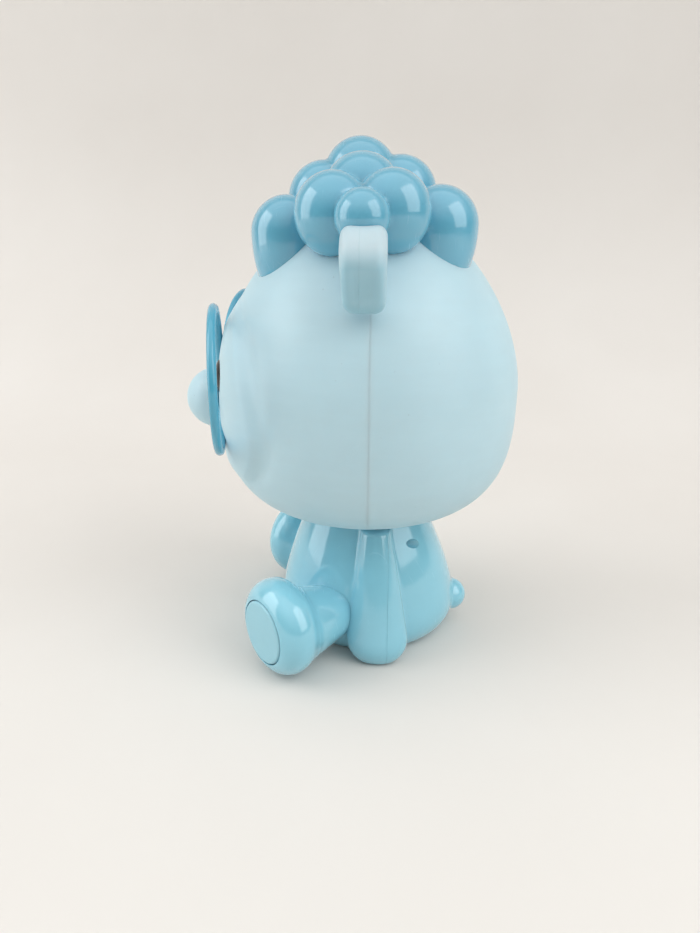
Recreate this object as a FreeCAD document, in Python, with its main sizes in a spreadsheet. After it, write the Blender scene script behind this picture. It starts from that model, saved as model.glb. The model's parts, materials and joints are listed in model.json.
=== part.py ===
import FreeCAD, Part
import Sketcher
import math
import os

# A seated puppy night light, 250 mm tall.  +Z is up, the puppy looks along -Y and its left is +X.
# The origin is on the ground, under the axis that the head turns about.

os.makedirs("parts", exist_ok=True)
Vector = FreeCAD.Vector
Rotation = FreeCAD.Rotation
Placement = FreeCAD.Placement
doc = FreeCAD.newDocument("PuppyLight")

# ---------------------------------------------------------------- driving dimensions, mm and degrees
SIZES = {
    # head: a round shell whose outline is a superellipse above and another below its widest level
    "head_radius": 74.5, "head_level": 136.0, "head_rise": 87.4, "head_drop": 66.4,
    "head_rise_power": 1.733, "head_drop_power": 3.175, "head_wall": 2.0,
    "head_top": 214.0, "head_pole": 2.0, "head_seam_y": 1.7, "face_flat": 72.6,
    "nose_radius": 15.3, "nose_forward": 77.4, "nose_level": 127.1, "nose_wall": 2.0, "peg_radius": 2.5,
    "nose_back": 75.4, "nose_stem": 6.5,
    "eye_radius": 7.5, "eye_side": 22.0, "eye_level": 146.0, "eye_proud": 2.3, "eye_depth": 5.0,
    # glasses: two rings joined by a bar with a peg into the face
    "lens_radius": 32.4, "rim_radius": 2.0, "lens_side": 39.0, "lens_forward": 68.1, "lens_level": 144.0,
    "lens_wrap": 9.4, "rim_gap": 0.3, "bridge_rise": 13.0, "bridge_peg": 1.5,
    # hair: balls of several sizes, hollow, cut to sit on the head
    "hair_wall": 2.0, "low_curl": 21.0, "side_curl": 18.6, "top_curl": 17.3, "small_curl": 11.2,
    # ears: a flat band that arches out from the head and hangs
    "ear_y": -1.3, "ear_width": 18.6, "ear_thick": 12.0, "ear_root": 46.0, "ear_top": 212.0,
    "ear_bend": 17.0, "ear_hang": 16.0, "ear_out": 81.0, "ear_round": 5.0,
    # torso: elliptical levels, widest low down, with the arms moulded on
    "torso_top": 68.8, "torso_widest": 18.0, "torso_wide": 41.5, "torso_wide_base": 33.5,
    "torso_wide_top": 28.0, "torso_deep": 47.3, "torso_deep_base": 38.0, "torso_deep_top": 31.0,
    "torso_shift": 1.8, "torso_wall": 2.2, "torso_seam_y": 6.5,
    "arm_top": 65.0, "arm_widest": 14.0, "arm_deep": 15.5, "arm_deep_base": 8.0, "arm_deep_top": 8.6,
    "arm_thick": 9.5, "arm_thick_base": 4.0, "arm_thick_top": 7.5, "arm_side_low": 43.5,
    "arm_side_top": 29.0, "arm_y_low": 7.2, "arm_y_top": 5.4,
    "tail_radius": 8.7, "tail_back": 47.4, "tail_level": 16.0,
    # legs: a drum-shaped foot on a short thigh, splayed outwards
    "foot_radius": 23.4, "foot_side": 49.1, "foot_forward": 36.5, "foot_splay": 33.0, "foot_front": 17.0,
    "foot_back": 13.0, "foot_round": 9.0, "thigh_radius": 18.6, "thigh_length": 38.0, "leg_wall": 2.2,
    "pad_radius": 15.9, "pad_recess": 16.6, "pad_depth": 2.4,
    # neck: post, bearing ring, washer, retaining ring with its turning stop
    "post_radius": 9.0, "post_bore": 6.0, "post_top": 100.0, "flange_radius": 24.0, "flange_low": 63.6,
    "flange_thick": 2.4, "running_gap": 0.05, "loose_gap": 0.3, "fixed_gap": 0.1,
    "shelf_thick": 1.7, "shelf_open": 12.5,
    "washer_radius": 19.0, "washer_top": 69.7, "neck_open": 24.0, "hub_low": 69.8, "rim_low": 72.9,
    "ring_radius": 30.0, "ring_top": 75.4, "clip_low": 75.6, "clip_thick": 1.8, "clip_radius": 13.5,
    "stop_radius": 22.0, "stop_pin": 2.0, "stop_pitch": 18.0, "stop_top": 78.4, "turn_limit": 40.0, "stop_slack": 1.2,
    # lamp on top of the post
    "lamp_radius": 18.0, "lamp_thick": 3.0, "sleeve_radius": 11.0, "sleeve_length": 8.0,
    "board_thick": 1.4, "lamp_board": 16.0, "chip_size": 5.0, "chip_thick": 1.6, "chip_pitch": 10.0,
    "wire_hole": 3.0, "wire_radius": 1.2,
    # base plate with its battery bay
    "plate_wide": 59.0, "plate_deep": 69.0, "plate_corner": 26.0, "plate_thick": 2.4,
    "bay_wide": 33.0, "bay_long": 48.6, "bay_y": -1.0, "bay_high": 13.9, "bay_wall": 2.3, "bay_roof": 1.6,
    "door_lap": 1.3, "door_low": 0.5, "door_thick": 1.8, "door_gap": 0.3, "tab_wide": 12.0, "tab_long": 5.6,
    "door_screw_y": 29.2, "seat_level": 1.5,
    "cell_radius": 5.25, "cell_length": 44.5, "cell_nub": 1.9, "spring_length": 3.0, "contact_thick": 0.4,
    "main_wide": 32.0, "main_long": 42.0, "main_level": 19.0, "main_post": 2.4,
    # power switch
    "switch_y": 29.7, "switch_travel": 3.0, "slot_wide": 8.4, "slot_deep": 3.2, "knob_wide": 5.0,
    "knob_deep": 2.6, "knob_low": 0.6, "switch_wide": 16.0, "switch_deep": 5.2, "switch_low": 4.1,
    "switch_high": 8.0,
    # screws: one size, 2.6 mm
    "screw_radius": 1.3, "screw_head": 2.6, "screw_head_thick": 1.3, "boss_radius": 3.6,
    "screw_clear": 1.6, "back_screw_x": 24.0, "back_screw_level": 56.5, "back_recess": 3.5,
    "base_screw_x": 23.5, "base_screw_y": 14.0,
}

sheet = doc.addObject("Spreadsheet::Sheet", "Sizes")
for row, (alias, value) in enumerate(SIZES.items(), start=1):
    sheet.set("A%d" % row, alias)
    sheet.set("B%d" % row, str(value))
    sheet.setAlias("B%d" % row, alias)
doc.recompute()


def size(alias):
    """A driving dimension, read back from the sheet."""
    return float(sheet.get(alias))


subparts = []


def keep(obj, node):
    """Name a finished sub-part after its node and put it on the list to write."""
    obj.Label = node
    subparts.append(obj)
    return obj


def cells(text):
    """Turn plain alias names in an expression into references to the sheet."""
    words = []
    for word in text.replace("(", " ( ").replace(")", " ) ").split():
        words.append("Sizes." + word if word in SIZES else word)
    return " ".join(words)


def bind(obj, expressions):
    """Bind properties of an object to expressions of sheet names."""
    for prop, text in expressions.items():
        obj.setExpression(prop, cells(text))


# ---------------------------------------------------------------- PartDesign helpers
def new_body(node):
    """An empty PartDesign body that will be written as the given node."""
    return keep(doc.addObject("PartDesign::Body", node + "_body"), node)


def sketch_on(body, role, height="0"):
    """A sketch on one of the body's origin planes, raised by an expression."""
    plane = [item for item in body.Origin.OriginFeatures if item.Role == role][0]
    sketch = body.newObject("Sketcher::SketchObject", body.Name + "_sketch")
    sketch.AttachmentSupport = [(plane, "")]
    sketch.MapMode = "FlatFace"
    bind(sketch, {"AttachmentOffset.Base.z": height})
    return sketch


def constrain_point(sketch, geometry, end, across, up):
    """Hold one point of a sketch at two expressions from the origin."""
    for kind, text in (("DistanceX", across), ("DistanceY", up)):
        place = sketch.addConstraint(Sketcher.Constraint(kind, -1, 1, geometry, end, 1.0))
        sketch.setExpression("Constraints[%d]" % place, cells(text))


def number(text):
    """The present value of an expression of sheet names."""
    parts = [str(SIZES[word]) if word in SIZES else word for word in
             text.replace("(", " ( ").replace(")", " ) ").split()]
    return float(FreeCAD.Units.Quantity("".join(parts).replace("--", "+")).Value)


def add_outline(sketch, corners):
    """A closed outline of straight sides through corners given as pairs of expressions."""
    points = [Vector(number(across), number(up), 0) for across, up in corners]
    first = sketch.GeometryCount
    count = len(points)
    for index in range(count):
        sketch.addGeometry(Part.LineSegment(points[index], points[(index + 1) % count]), False)
    for index in range(count):
        following = first + (index + 1) % count
        sketch.addConstraint(Sketcher.Constraint("Coincident", first + index, 2, following, 1))
    for index, (across, up) in enumerate(corners):
        constrain_point(sketch, first + index, 1, across, up)


def add_rectangle(sketch, middle, wide, deep):
    """A rectangle about a middle point, all sizes as expressions."""
    left = "%s - ( %s ) / 2" % (middle[0], wide)
    right = "%s + ( %s ) / 2" % (middle[0], wide)
    low = "%s - ( %s ) / 2" % (middle[1], deep)
    high = "%s + ( %s ) / 2" % (middle[1], deep)
    add_outline(sketch, [(left, low), (right, low), (right, high), (left, high)])


def add_circle(sketch, middle, radius):
    """A circle whose middle and radius are expressions."""
    centre = Vector(number(middle[0]), number(middle[1]), 0)
    ring = sketch.addGeometry(Part.Circle(centre, Vector(0, 0, 1), number(radius)), False)
    constrain_point(sketch, ring, 3, middle[0], middle[1])
    place = sketch.addConstraint(Sketcher.Constraint("Radius", ring, 1.0))
    sketch.setExpression("Constraints[%d]" % place, cells(radius))


def pad(body, sketch, length):
    """Pad a sketch upwards by an expression."""
    feature = body.newObject("PartDesign::Pad", body.Name + "_pad")
    feature.Profile = sketch
    bind(feature, {"Length": length})
    return feature


def pocket_up(body, sketch, length):
    """Pocket a sketch in the direction of its normal, by an expression."""
    doc.recompute()
    before = body.Shape.Volume
    feature = body.newObject("PartDesign::Pocket", body.Name + "_pocket")
    feature.Profile = sketch
    feature.Reversed = True
    bind(feature, {"Length": length})
    doc.recompute()
    if body.Shape.Volume >= before:
        raise RuntimeError("a pocket of %s cuts nothing" % body.Label)
    return feature


def turn(body, corners):
    """Revolve an outline of (radius, height) expressions about the body's Z axis."""
    sketch = sketch_on(body, "XZ_Plane")
    add_outline(sketch, corners)
    feature = body.newObject("PartDesign::Revolution", body.Name + "_turn")
    feature.Profile = sketch
    feature.ReferenceAxis = (sketch, ["V_Axis"])
    feature.Angle = 360
    return feature


# ---------------------------------------------------------------- helpers on plain shapes
def store(node, shape):
    """Make a Part::Feature sub-part from a finished shape."""
    feature = doc.addObject("Part::Feature", node + "_solid")
    feature.Shape = shape
    feature.Placement = Placement()
    return keep(feature, node)


def box_between(low, high):
    """A box from its lowest to its highest corner."""
    low, high = Vector(*low), Vector(*high)
    span = high - low
    return Part.makeBox(span.x, span.y, span.z, low)


def rod(radius, start, end):
    """A straight round rod from one point to another."""
    start, end = Vector(*start), Vector(*end)
    return Part.makeCylinder(radius, (end - start).Length, start, end - start)


def ellipse_wire(half_x, half_y, middle_x, middle_y, level):
    """A level ellipse, its longer axis found from the two half sizes."""
    centre = Vector(middle_x, middle_y, level)
    if half_x >= half_y:
        major, minor = Vector(half_x, 0, 0), Vector(0, half_y, 0)
    else:
        major, minor = Vector(0, half_y, 0), Vector(-half_x, 0, 0)
    curve = Part.Ellipse(centre + major, centre + minor, centre)
    return Part.Wire(curve.toShape())


def swell(level, low, widest, top, at_low, at_widest, at_top, power):
    """A half size that swells from the base to its widest level, then tapers to the top."""
    if level <= widest:
        share = ((widest - level) / (widest - low)) ** 2.5
        return at_widest + (at_low - at_widest) * share
    share = ((level - widest) / (top - widest)) ** power
    return at_widest + (at_top - at_widest) * share


# ---------------------------------------------------------------- torso and arms
def torso_ring(level, inset):
    """The torso's elliptical section at a level, drawn in by the wall where asked."""
    widest, top = size("torso_widest"), size("torso_top")
    half_x = swell(level, 0, widest, top, size("torso_wide_base"), size("torso_wide"),
                   size("torso_wide_top"), 1.5)
    half_y = swell(level, 0, widest, top, size("torso_deep_base"), size("torso_deep"),
                   size("torso_deep_top"), 1.5)
    rise = max(0.0, (level - widest) / (top - widest))
    return ellipse_wire(half_x - inset, half_y - inset, 0, size("torso_shift") * (1 - rise), level)


def arm_ring(side, level, inset):
    """An arm's elliptical section at a level; the arm leans out towards its foot."""
    widest, top = size("arm_widest"), size("arm_top")
    half_x = swell(level, 0, widest, top, size("arm_thick_base"), size("arm_thick"),
                   size("arm_thick_top"), 1.0)
    half_y = swell(level, 0, widest, top, size("arm_deep_base"), size("arm_deep"),
                   size("arm_deep_top"), 1.0)
    rise = level / top
    middle_x = size("arm_side_low") + (size("arm_side_top") - size("arm_side_low")) * rise ** 1.3
    middle_y = size("arm_y_low") + (size("arm_y_top") - size("arm_y_low")) * rise
    return ellipse_wire(half_x - inset, half_y - inset, side * middle_x, middle_y, level)


def loft_between(ring, low, high, inset, steps):
    """Loft a section function between two levels."""
    levels = [low + (high - low) * step / steps for step in range(steps + 1)]
    return Part.makeLoft([ring(level, inset) for level in levels], True, False)


def torso_outside():
    """The whole outside of the body: torso, both arms and the tail."""
    shape = loft_between(torso_ring, 0, size("torso_top"), 0, 9)
    for side in (1, -1):
        arm = loft_between(lambda level, inset: arm_ring(side, level, inset), 0, size("arm_top"), 0, 9)
        shape = shape.fuse(arm)
    tail = Part.makeSphere(size("tail_radius"), Vector(0, size("tail_back"), size("tail_level")))
    return shape.fuse(tail)


def torso_inside():
    """The cavity inside the torso, with the pocket that holds the neck post's flange."""
    wall = size("torso_wall")
    shelf_top = size("flange_low") - size("fixed_gap")
    shelf_low = shelf_top - size("shelf_thick")
    deck_low = size("flange_low") + size("flange_thick") + size("fixed_gap")
    shape = loft_between(torso_ring, wall, shelf_low, wall, 8)
    for side in (1, -1):
        arm = loft_between(lambda level, inset: arm_ring(side, level, inset),
                           wall, size("arm_top") - 9, wall, 8)
        shape = shape.fuse(arm)
    pocket = loft_between(torso_ring, shelf_top, deck_low, wall, 2)
    shelf_hole = Part.makeCylinder(size("shelf_open"), shelf_top - shelf_low, Vector(0, 0, shelf_low))
    deck_hole = Part.makeCylinder(size("post_radius") + size("loose_gap"),
                                  size("torso_top") - deck_low + 1, Vector(0, 0, deck_low))
    tail_hollow = Part.makeSphere(size("tail_radius") - wall,
                                  Vector(0, size("tail_back"), size("tail_level")))
    return shape.fuse([pocket, shelf_hole, deck_hole, tail_hollow])


def plate_blank(grow, low, high):
    """The base plate's rounded outline as a block, grown by a gap."""
    half_x = size("plate_wide") / 2 + grow
    half_y = size("plate_deep") / 2 + grow
    block = box_between((-half_x, -half_y, low), (half_x, half_y, high))
    upright = [edge for edge in block.Edges if edge.BoundBox.ZLength > (high - low) / 2]
    return block.makeFillet(size("plate_corner") + grow, upright)


def leg_axis(side):
    """The foot's middle and the unit vector out through its sole."""
    splay = math.radians(size("foot_splay"))
    middle = Vector(side * size("foot_side"), -size("foot_forward"), size("foot_radius"))
    return middle, Vector(side * math.sin(splay), -math.cos(splay), 0)


def leg_screw_line(side):
    """Where the leg screw runs: its line's point level with the foot and the way out of the torso."""
    middle, out = leg_axis(side)
    return Vector(middle.x, middle.y, size("thigh_radius") + 0.4), out


def make_torso():
    """Front and rear torso shells, parted through the middle of the arms."""
    outside = torso_outside()
    shell = outside.cut(torso_inside())
    shell = shell.cut(plate_blank(size("loose_gap"), -1, size("torso_wall") + 1.5))
    seam = size("torso_seam_y")
    reach = 80
    front_zone = box_between((-reach, -reach, -5), (reach, seam, 90))
    rear_zone = box_between((-reach, seam, -5), (reach, reach, 90))
    front = shell.common(front_zone)
    rear = shell.common(rear_zone)
    clear = size("screw_clear")
    snug = size("screw_radius") + size("running_gap")
    boss_radius = size("boss_radius")
    for side in (1, -1):
        x, level = side * size("back_screw_x"), size("back_screw_level")
        front_boss = rod(boss_radius, (x, seam + 5.3, level), (x, -45, level)).common(outside)
        pilot = rod(snug, (x, seam + 5.4, level), (x, seam - 14, level))
        front = front.fuse(front_boss).cut(pilot)
        rear_boss = rod(boss_radius + 1.2, (x, seam + 5.5, level), (x, 45, level)).common(outside)
        recess = rod(size("back_recess"), (x, seam + 7.5, level), (x, 60, level))
        hole = rod(clear, (x, seam + 5, level), (x, seam + 8, level))
        rear = rear.fuse(rear_boss).cut(recess).cut(hole)
        for shell_name, y in (("front", -size("base_screw_y")), ("rear", size("base_screw_y"))):
            x = side * size("base_screw_x")
            low, high = size("plate_thick") + 0.1, 14.0
            boss = rod(boss_radius, (x, y, low), (x, y, high))
            web_x = sorted((x, side * 50))
            web = box_between((web_x[0], y - 1, size("torso_wall") + 1.6), (web_x[1], y + 1, 12))
            boss = boss.fuse(web.common(outside))
            pilot = rod(snug, (x, y, low - 1), (x, y, 11.5))
            if shell_name == "front":
                front = front.fuse(boss).cut(pilot)
            else:
                rear = rear.fuse(boss).cut(pilot)
        point, out = leg_screw_line(side)
        front = front.cut(rod(clear, tuple(point - out * 40), tuple(point - out * 12)))
    store("torso_front_shell", front)
    store("torso_rear_shell", rear)
    return outside


def make_leg(side, name, outside):
    """One leg shell with its bulkhead and screw boss, and the sole pad that sits in its foot."""
    middle, out = leg_axis(side)
    wall = size("leg_wall")

    def drum(inset):
        front, back = size("foot_front") - inset, size("foot_back") - inset
        radius = size("foot_radius") - inset
        block = Part.makeCylinder(radius, front + back, middle - out * back, out)
        rims = [edge for edge in block.Edges if isinstance(edge.Curve, Part.Circle)]
        return block.makeFillet(size("foot_round") - inset, rims)

    def thigh(inset):
        radius = size("thigh_radius") - inset
        start = Vector(middle.x, middle.y, size("thigh_radius"))
        end = start - out * size("thigh_length")
        tube = rod(radius, tuple(end), tuple(start))
        return tube.fuse(Part.makeSphere(radius, end))

    outer = drum(0).fuse(thigh(0))
    shell = outer.cut(drum(wall).fuse(thigh(wall)))
    point, _ = leg_screw_line(side)
    bulkhead = rod(40, tuple(point - out * 15.5), tuple(point - out * 13.5)).common(outer)
    boss = rod(size("boss_radius"), tuple(point - out * 30), tuple(point - out * 13.5))
    recess_low = size("foot_front") - size("pad_depth")
    seat = rod(size("pad_recess") + wall, tuple(middle + out * (recess_low - wall)),
               tuple(middle + out * size("foot_front")))
    shell = shell.fuse([bulkhead, boss, seat.common(outer)]).cut(outside)
    recess = rod(size("pad_recess"), tuple(middle + out * recess_low), tuple(middle + out * 40))
    pilot = rod(size("screw_radius") + size("running_gap"), tuple(point - out * 40), tuple(point - out * 12))
    shell = shell.cut(recess).cut(pilot)
    solids = sorted(shell.Solids, key=lambda solid: solid.Volume)
    store(name + "_leg_shell", solids[-1])
    sole = Part.makeCylinder(size("pad_radius"), size("pad_depth") + 0.4, middle + out * recess_low, out)
    rim = [edge for edge in sole.Edges if isinstance(edge.Curve, Part.Circle)
           and (edge.CenterOfMass - middle).dot(out) > recess_low + 1]
    store(name + "_sole_pad", sole.makeFillet(1.2, rim))


# ---------------------------------------------------------------- head
def head_half_width(level, inset):
    """The head's radius at a level, from its two superellipses."""
    rise = level - size("head_level")
    reach = (size("head_rise") if rise > 0 else size("head_drop")) - inset
    power = size("head_rise_power") if rise > 0 else size("head_drop_power")
    share = min(1.0, abs(rise) / reach)
    return (size("head_radius") - inset) * (1 - share ** power) ** (1 / power)


def head_solid(inset, top, bottom_radius):
    """The head as a solid of revolution, flat at its top and open at its neck radius."""
    low = size("head_level") - (size("head_drop") - inset)
    share = 1 - (bottom_radius / (size("head_radius") - inset)) ** size("head_drop_power")
    start = size("head_level") - (size("head_drop") - inset) * share ** (1 / size("head_drop_power"))
    steps = 22
    points = [Vector(0, 0, start)]
    for step in range(steps + 1):
        angle = math.pi * step / steps
        level = (start + top) / 2 - (top - start) / 2 * math.cos(angle)
        points.append(Vector(head_half_width(level, inset), 0, level))
    curve = Part.BSplineCurve()
    curve.interpolate(points[1:])
    closing = [Part.LineSegment(points[-1], Vector(0, 0, top)).toShape(),
               Part.LineSegment(Vector(0, 0, top), points[0]).toShape(),
               Part.LineSegment(points[0], points[1]).toShape()]
    face = Part.Face(Part.Wire([curve.toShape()] + closing))
    return face.revolve(Vector(0, 0, 0), Vector(0, 0, 1), 360)


def eye_frame(side):
    """The middle of an eye on the head's surface and the way it looks."""
    level = size("eye_level")
    x = side * size("eye_side")
    y = -math.sqrt(head_half_width(level, 0) ** 2 - x ** 2)
    out = Vector(x, y, 0)
    out.normalize()
    return Vector(x, y, level), out


def glasses_ring(side, tube):
    """One rim of the glasses, turned so that its outer edge lies further back."""
    middle = Vector(side * size("lens_side"), -size("lens_forward"), size("lens_level"))
    wrap = math.radians(size("lens_wrap"))
    facing = Vector(side * math.sin(wrap), -math.cos(wrap), 0)
    return Part.makeTorus(size("lens_radius"), tube, middle, facing)


def glasses_bed(side, grow):
    """The ring-shaped channel that keeps the face clear of a rim, open towards the front."""
    middle = Vector(side * size("lens_side"), -size("lens_forward"), size("lens_level"))
    wrap = math.radians(size("lens_wrap"))
    facing = Vector(side * math.sin(wrap), -math.cos(wrap), 0)
    reach = size("rim_radius") + size("rim_gap") + grow
    start = middle - facing * reach
    wide = Part.makeCylinder(size("lens_radius") + reach, 30, start, facing)
    return wide.cut(Part.makeCylinder(size("lens_radius") - reach, 30, start, facing))


def glasses_bar():
    """The bridge between the rims and the peg that goes into the face, as two rods' end points."""
    level = size("lens_level") + size("bridge_rise")
    wrap = math.radians(size("lens_wrap"))
    run = math.sqrt(size("lens_radius") ** 2 - size("bridge_rise") ** 2)
    x = size("lens_side") - run * math.cos(wrap)
    y = -size("lens_forward") - run * math.sin(wrap)
    return Vector(-x, y, level), Vector(x, y, level)


def make_glasses():
    """Two round rims, the bridge and its peg, one moulding."""
    left_end, right_end = glasses_bar()
    bar = rod(size("rim_radius"), tuple(left_end), tuple(right_end))
    front = Vector(0, left_end.y, left_end.z)
    peg = rod(size("bridge_peg"), tuple(front), tuple(front + Vector(0, 9, 0)))
    rims = [glasses_ring(side, size("rim_radius")) for side in (1, -1)]
    store("glasses_frame", rims[0].fuse([rims[1], bar, peg]))


def make_head():
    """Front and rear head shells with the holes for eyes, nose peg, glasses peg and neck ring."""
    outer = head_solid(0, size("head_top"), size("head_pole"))
    flat = box_between((-60, -100, 60), (60, -size("face_flat"), 220))
    outer = outer.cut(flat)
    for side in (1, -1):
        outer = outer.cut(glasses_bed(side, 0))
    wall = size("head_wall")
    inner = head_solid(wall, size("head_top") - wall, size("head_pole"))
    inner = inner.cut(box_between((-60, -100, 60), (60, -size("face_flat") + wall, 220)))
    for side in (1, -1):
        inner = inner.cut(glasses_bed(side, wall))
    shell = outer.cut(inner)
    neck = Part.makeCylinder(size("neck_open"), 12, Vector(0, 0, 64))
    shell = shell.cut(neck)
    for side in (1, -1):
        middle, out = eye_frame(side)
        hole = rod(size("eye_radius") + 0.1, tuple(middle - out * 12), tuple(middle + out * 8))
        shell = shell.cut(hole)
    left_end, _ = glasses_bar()
    peg_hole = rod(size("bridge_peg") + 0.1, (0, -85, left_end.z), (0, -55, left_end.z))
    nose_hole = rod(size("peg_radius") + 0.1, (0, -85, size("nose_level")), (0, -55, size("nose_level")))
    seam = size("head_seam_y")
    front = shell.common(box_between((-90, -90, 50), (90, seam, 240)))
    for hole in (peg_hole, nose_hole):
        before = front.Volume
        front = front.cut(hole)
        if not 1 < before - front.Volume < 200:
            raise RuntimeError("a peg hole in the face changed the volume by %.1f" % (before - front.Volume))
    rear = shell.common(box_between((-90, seam, 50), (90, 90, 240)))
    store("head_front_shell", front)
    store("head_rear_shell", rear)
    return outer


def make_face(head):
    """Nose and eyes."""
    middle = Vector(0, -size("nose_forward"), size("nose_level"))
    back, wall = -size("nose_back"), size("nose_wall")
    behind = box_between((-30, back, 100), (30, 0, 160))
    ball = Part.makeSphere(size("nose_radius"), middle).cut(behind)
    hollow = Part.makeSphere(size("nose_radius") - wall, middle)
    hollow = hollow.cut(box_between((-30, back - wall, 100), (30, 0, 160)))
    stem = rod(size("nose_stem"), (0, back, middle.z), (0, -size("face_flat"), middle.z))
    peg = rod(size("peg_radius"), (0, back - wall, middle.z), (0, back + 9, middle.z))
    store("nose", ball.cut(hollow).fuse([stem, peg]))
    for side, name in ((1, "left_eye"), (-1, "right_eye")):
        middle, out = eye_frame(side)
        radius, proud = size("eye_radius"), size("eye_proud")
        dome_radius = (radius ** 2 + proud ** 2) / (2 * proud)
        dome = Part.makeSphere(dome_radius, middle + out * (proud - dome_radius))
        stem = rod(radius, tuple(middle - out * size("eye_depth")), tuple(middle + out * 8))
        store(name, dome.common(stem))


CURLS = [
    # name of the radius, side, y, level; a side of zero is a curl on the middle plane
    ("low_curl", 18.0, -34.0, 202.0),
    ("low_curl", 18.0, 29.5, 205.0),
    ("side_curl", 41.0, -15.0, 212.4),
    ("side_curl", 41.0, 11.5, 214.0),
    ("top_curl", 0.0, -21.5, 223.0),
    ("top_curl", 0.0, 14.5, 225.5),
    ("top_curl", 0.0, -4.0, 232.7),
    ("top_curl", 22.0, -2.7, 223.7),
    ("small_curl", 58.5, -1.8, 214.3),
]


def hair_balls(inset):
    """The hair's balls, each drawn in by the wall where asked."""
    balls = []
    for radius_name, side_x, y, level in CURLS:
        for side in ((1, -1) if side_x else (1,)):
            balls.append(Part.makeSphere(size(radius_name) - inset, Vector(side * side_x, y, level)))
    return balls[0].fuse(balls[1:])


def make_hair(head):
    """The hair cap: one hollow moulding of curls that sits on the head."""
    outside = hair_balls(0)
    cap = outside.cut(hair_balls(size("hair_wall"))).cut(head)
    store("hair_cap", sorted(cap.Solids, key=lambda solid: solid.Volume)[-1])
    return outside


def make_ear(side, name, head, hair):
    """A flat band that arches out from under the hair and hangs, with rounded edges."""
    root, top, out = size("ear_root"), size("ear_top"), size("ear_out")
    bend, thick, hang = size("ear_bend"), size("ear_thick"), size("ear_hang")
    inner_bend = bend - thick
    turn_x, turn_z = out - bend, top - bend
    diagonal = math.sqrt(0.5)
    outer_arc = Part.Arc(Vector(turn_x, 0, top), Vector(turn_x + bend * diagonal, 0, turn_z + bend * diagonal),
                         Vector(out, 0, turn_z))
    inner_arc = Part.Arc(Vector(out - thick, 0, turn_z),
                         Vector(turn_x + inner_bend * diagonal, 0, turn_z + inner_bend * diagonal),
                         Vector(turn_x, 0, top - thick))
    tip = turn_z - hang
    corners = [Vector(root, 0, top), Vector(turn_x, 0, top), Vector(out, 0, turn_z), Vector(out, 0, tip),
               Vector(out - thick, 0, tip), Vector(out - thick, 0, turn_z), Vector(turn_x, 0, top - thick),
               Vector(root, 0, top - thick)]
    sides = [Part.LineSegment(corners[0], corners[1]), outer_arc, Part.LineSegment(corners[2], corners[3]),
             Part.LineSegment(corners[3], corners[4]), Part.LineSegment(corners[4], corners[5]), inner_arc,
             Part.LineSegment(corners[6], corners[7]), Part.LineSegment(corners[7], corners[0])]
    outline = Part.Wire([item.toShape() for item in sides])
    band = Part.Face(outline).extrude(Vector(0, size("ear_width"), 0))
    band.translate(Vector(0, size("ear_y") - size("ear_width") / 2, 0))
    rounded = [edge for edge in band.Edges if edge.BoundBox.XMax > root + 1]
    band = band.makeFillet(size("ear_round"), rounded)
    if side < 0:
        band = band.mirror(Vector(0, 0, 0), Vector(1, 0, 0))
    ear = band.cut(head).cut(hair)
    store(name, sorted(ear.Solids, key=lambda solid: solid.Volume)[-1])


# ---------------------------------------------------------------- neck and lamp
def make_neck():
    """Post on the body, washer, the head's bearing ring and the retaining ring with its stop."""
    post = new_body("neck_post")
    turn(post, [("post_bore", "flange_low"), ("flange_radius", "flange_low"),
                ("flange_radius", "flange_low + flange_thick"),
                ("post_radius", "flange_low + flange_thick"), ("post_radius", "post_top"),
                ("post_bore", "post_top")])
    washer = new_body("friction_washer")
    turn(washer, [("post_radius + loose_gap", "torso_top"), ("washer_radius", "torso_top"),
                  ("washer_radius", "washer_top"), ("post_radius + loose_gap", "washer_top")])
    ring = new_body("neck_ring")
    turn(ring, [("post_radius + running_gap", "hub_low"), ("neck_open - loose_gap", "hub_low"),
                ("neck_open - loose_gap", "rim_low"), ("ring_radius", "rim_low"),
                ("ring_radius", "ring_top"), ("post_radius + running_gap", "ring_top")])
    pin = sketch_on(ring, "XY_Plane", "ring_top")
    add_circle(pin, ("0", "0 - stop_pitch"), "stop_pin")
    pad(ring, pin, "stop_top - ring_top")
    clip = new_body("retaining_ring")
    turn(clip, [("post_radius + 0.02", "clip_low"), ("stop_radius", "clip_low"),
                ("stop_radius", "clip_low + clip_thick"), ("post_radius + 0.02", "clip_low + clip_thick")])
    half_angle = size("turn_limit") + math.degrees(math.asin(size("stop_pin") / size("stop_pitch")))
    half_angle += size("stop_slack")
    steps = 10
    spread = [math.radians(half_angle * (2 * step / steps - 1)) for step in range(steps + 1)]
    inner, outer = size("clip_radius"), size("stop_radius") + 4
    outline = [Vector(inner * math.sin(angle), -inner * math.cos(angle), 0) for angle in spread]
    outline += [Vector(outer * math.sin(angle), -outer * math.cos(angle), 0) for angle in reversed(spread)]
    opening = sketch_on(clip, "XY_Plane", "clip_low")
    for index in range(len(outline)):
        opening.addGeometry(Part.LineSegment(outline[index - 1], outline[index]), False)
    pocket_up(clip, opening, "clip_thick")


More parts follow.
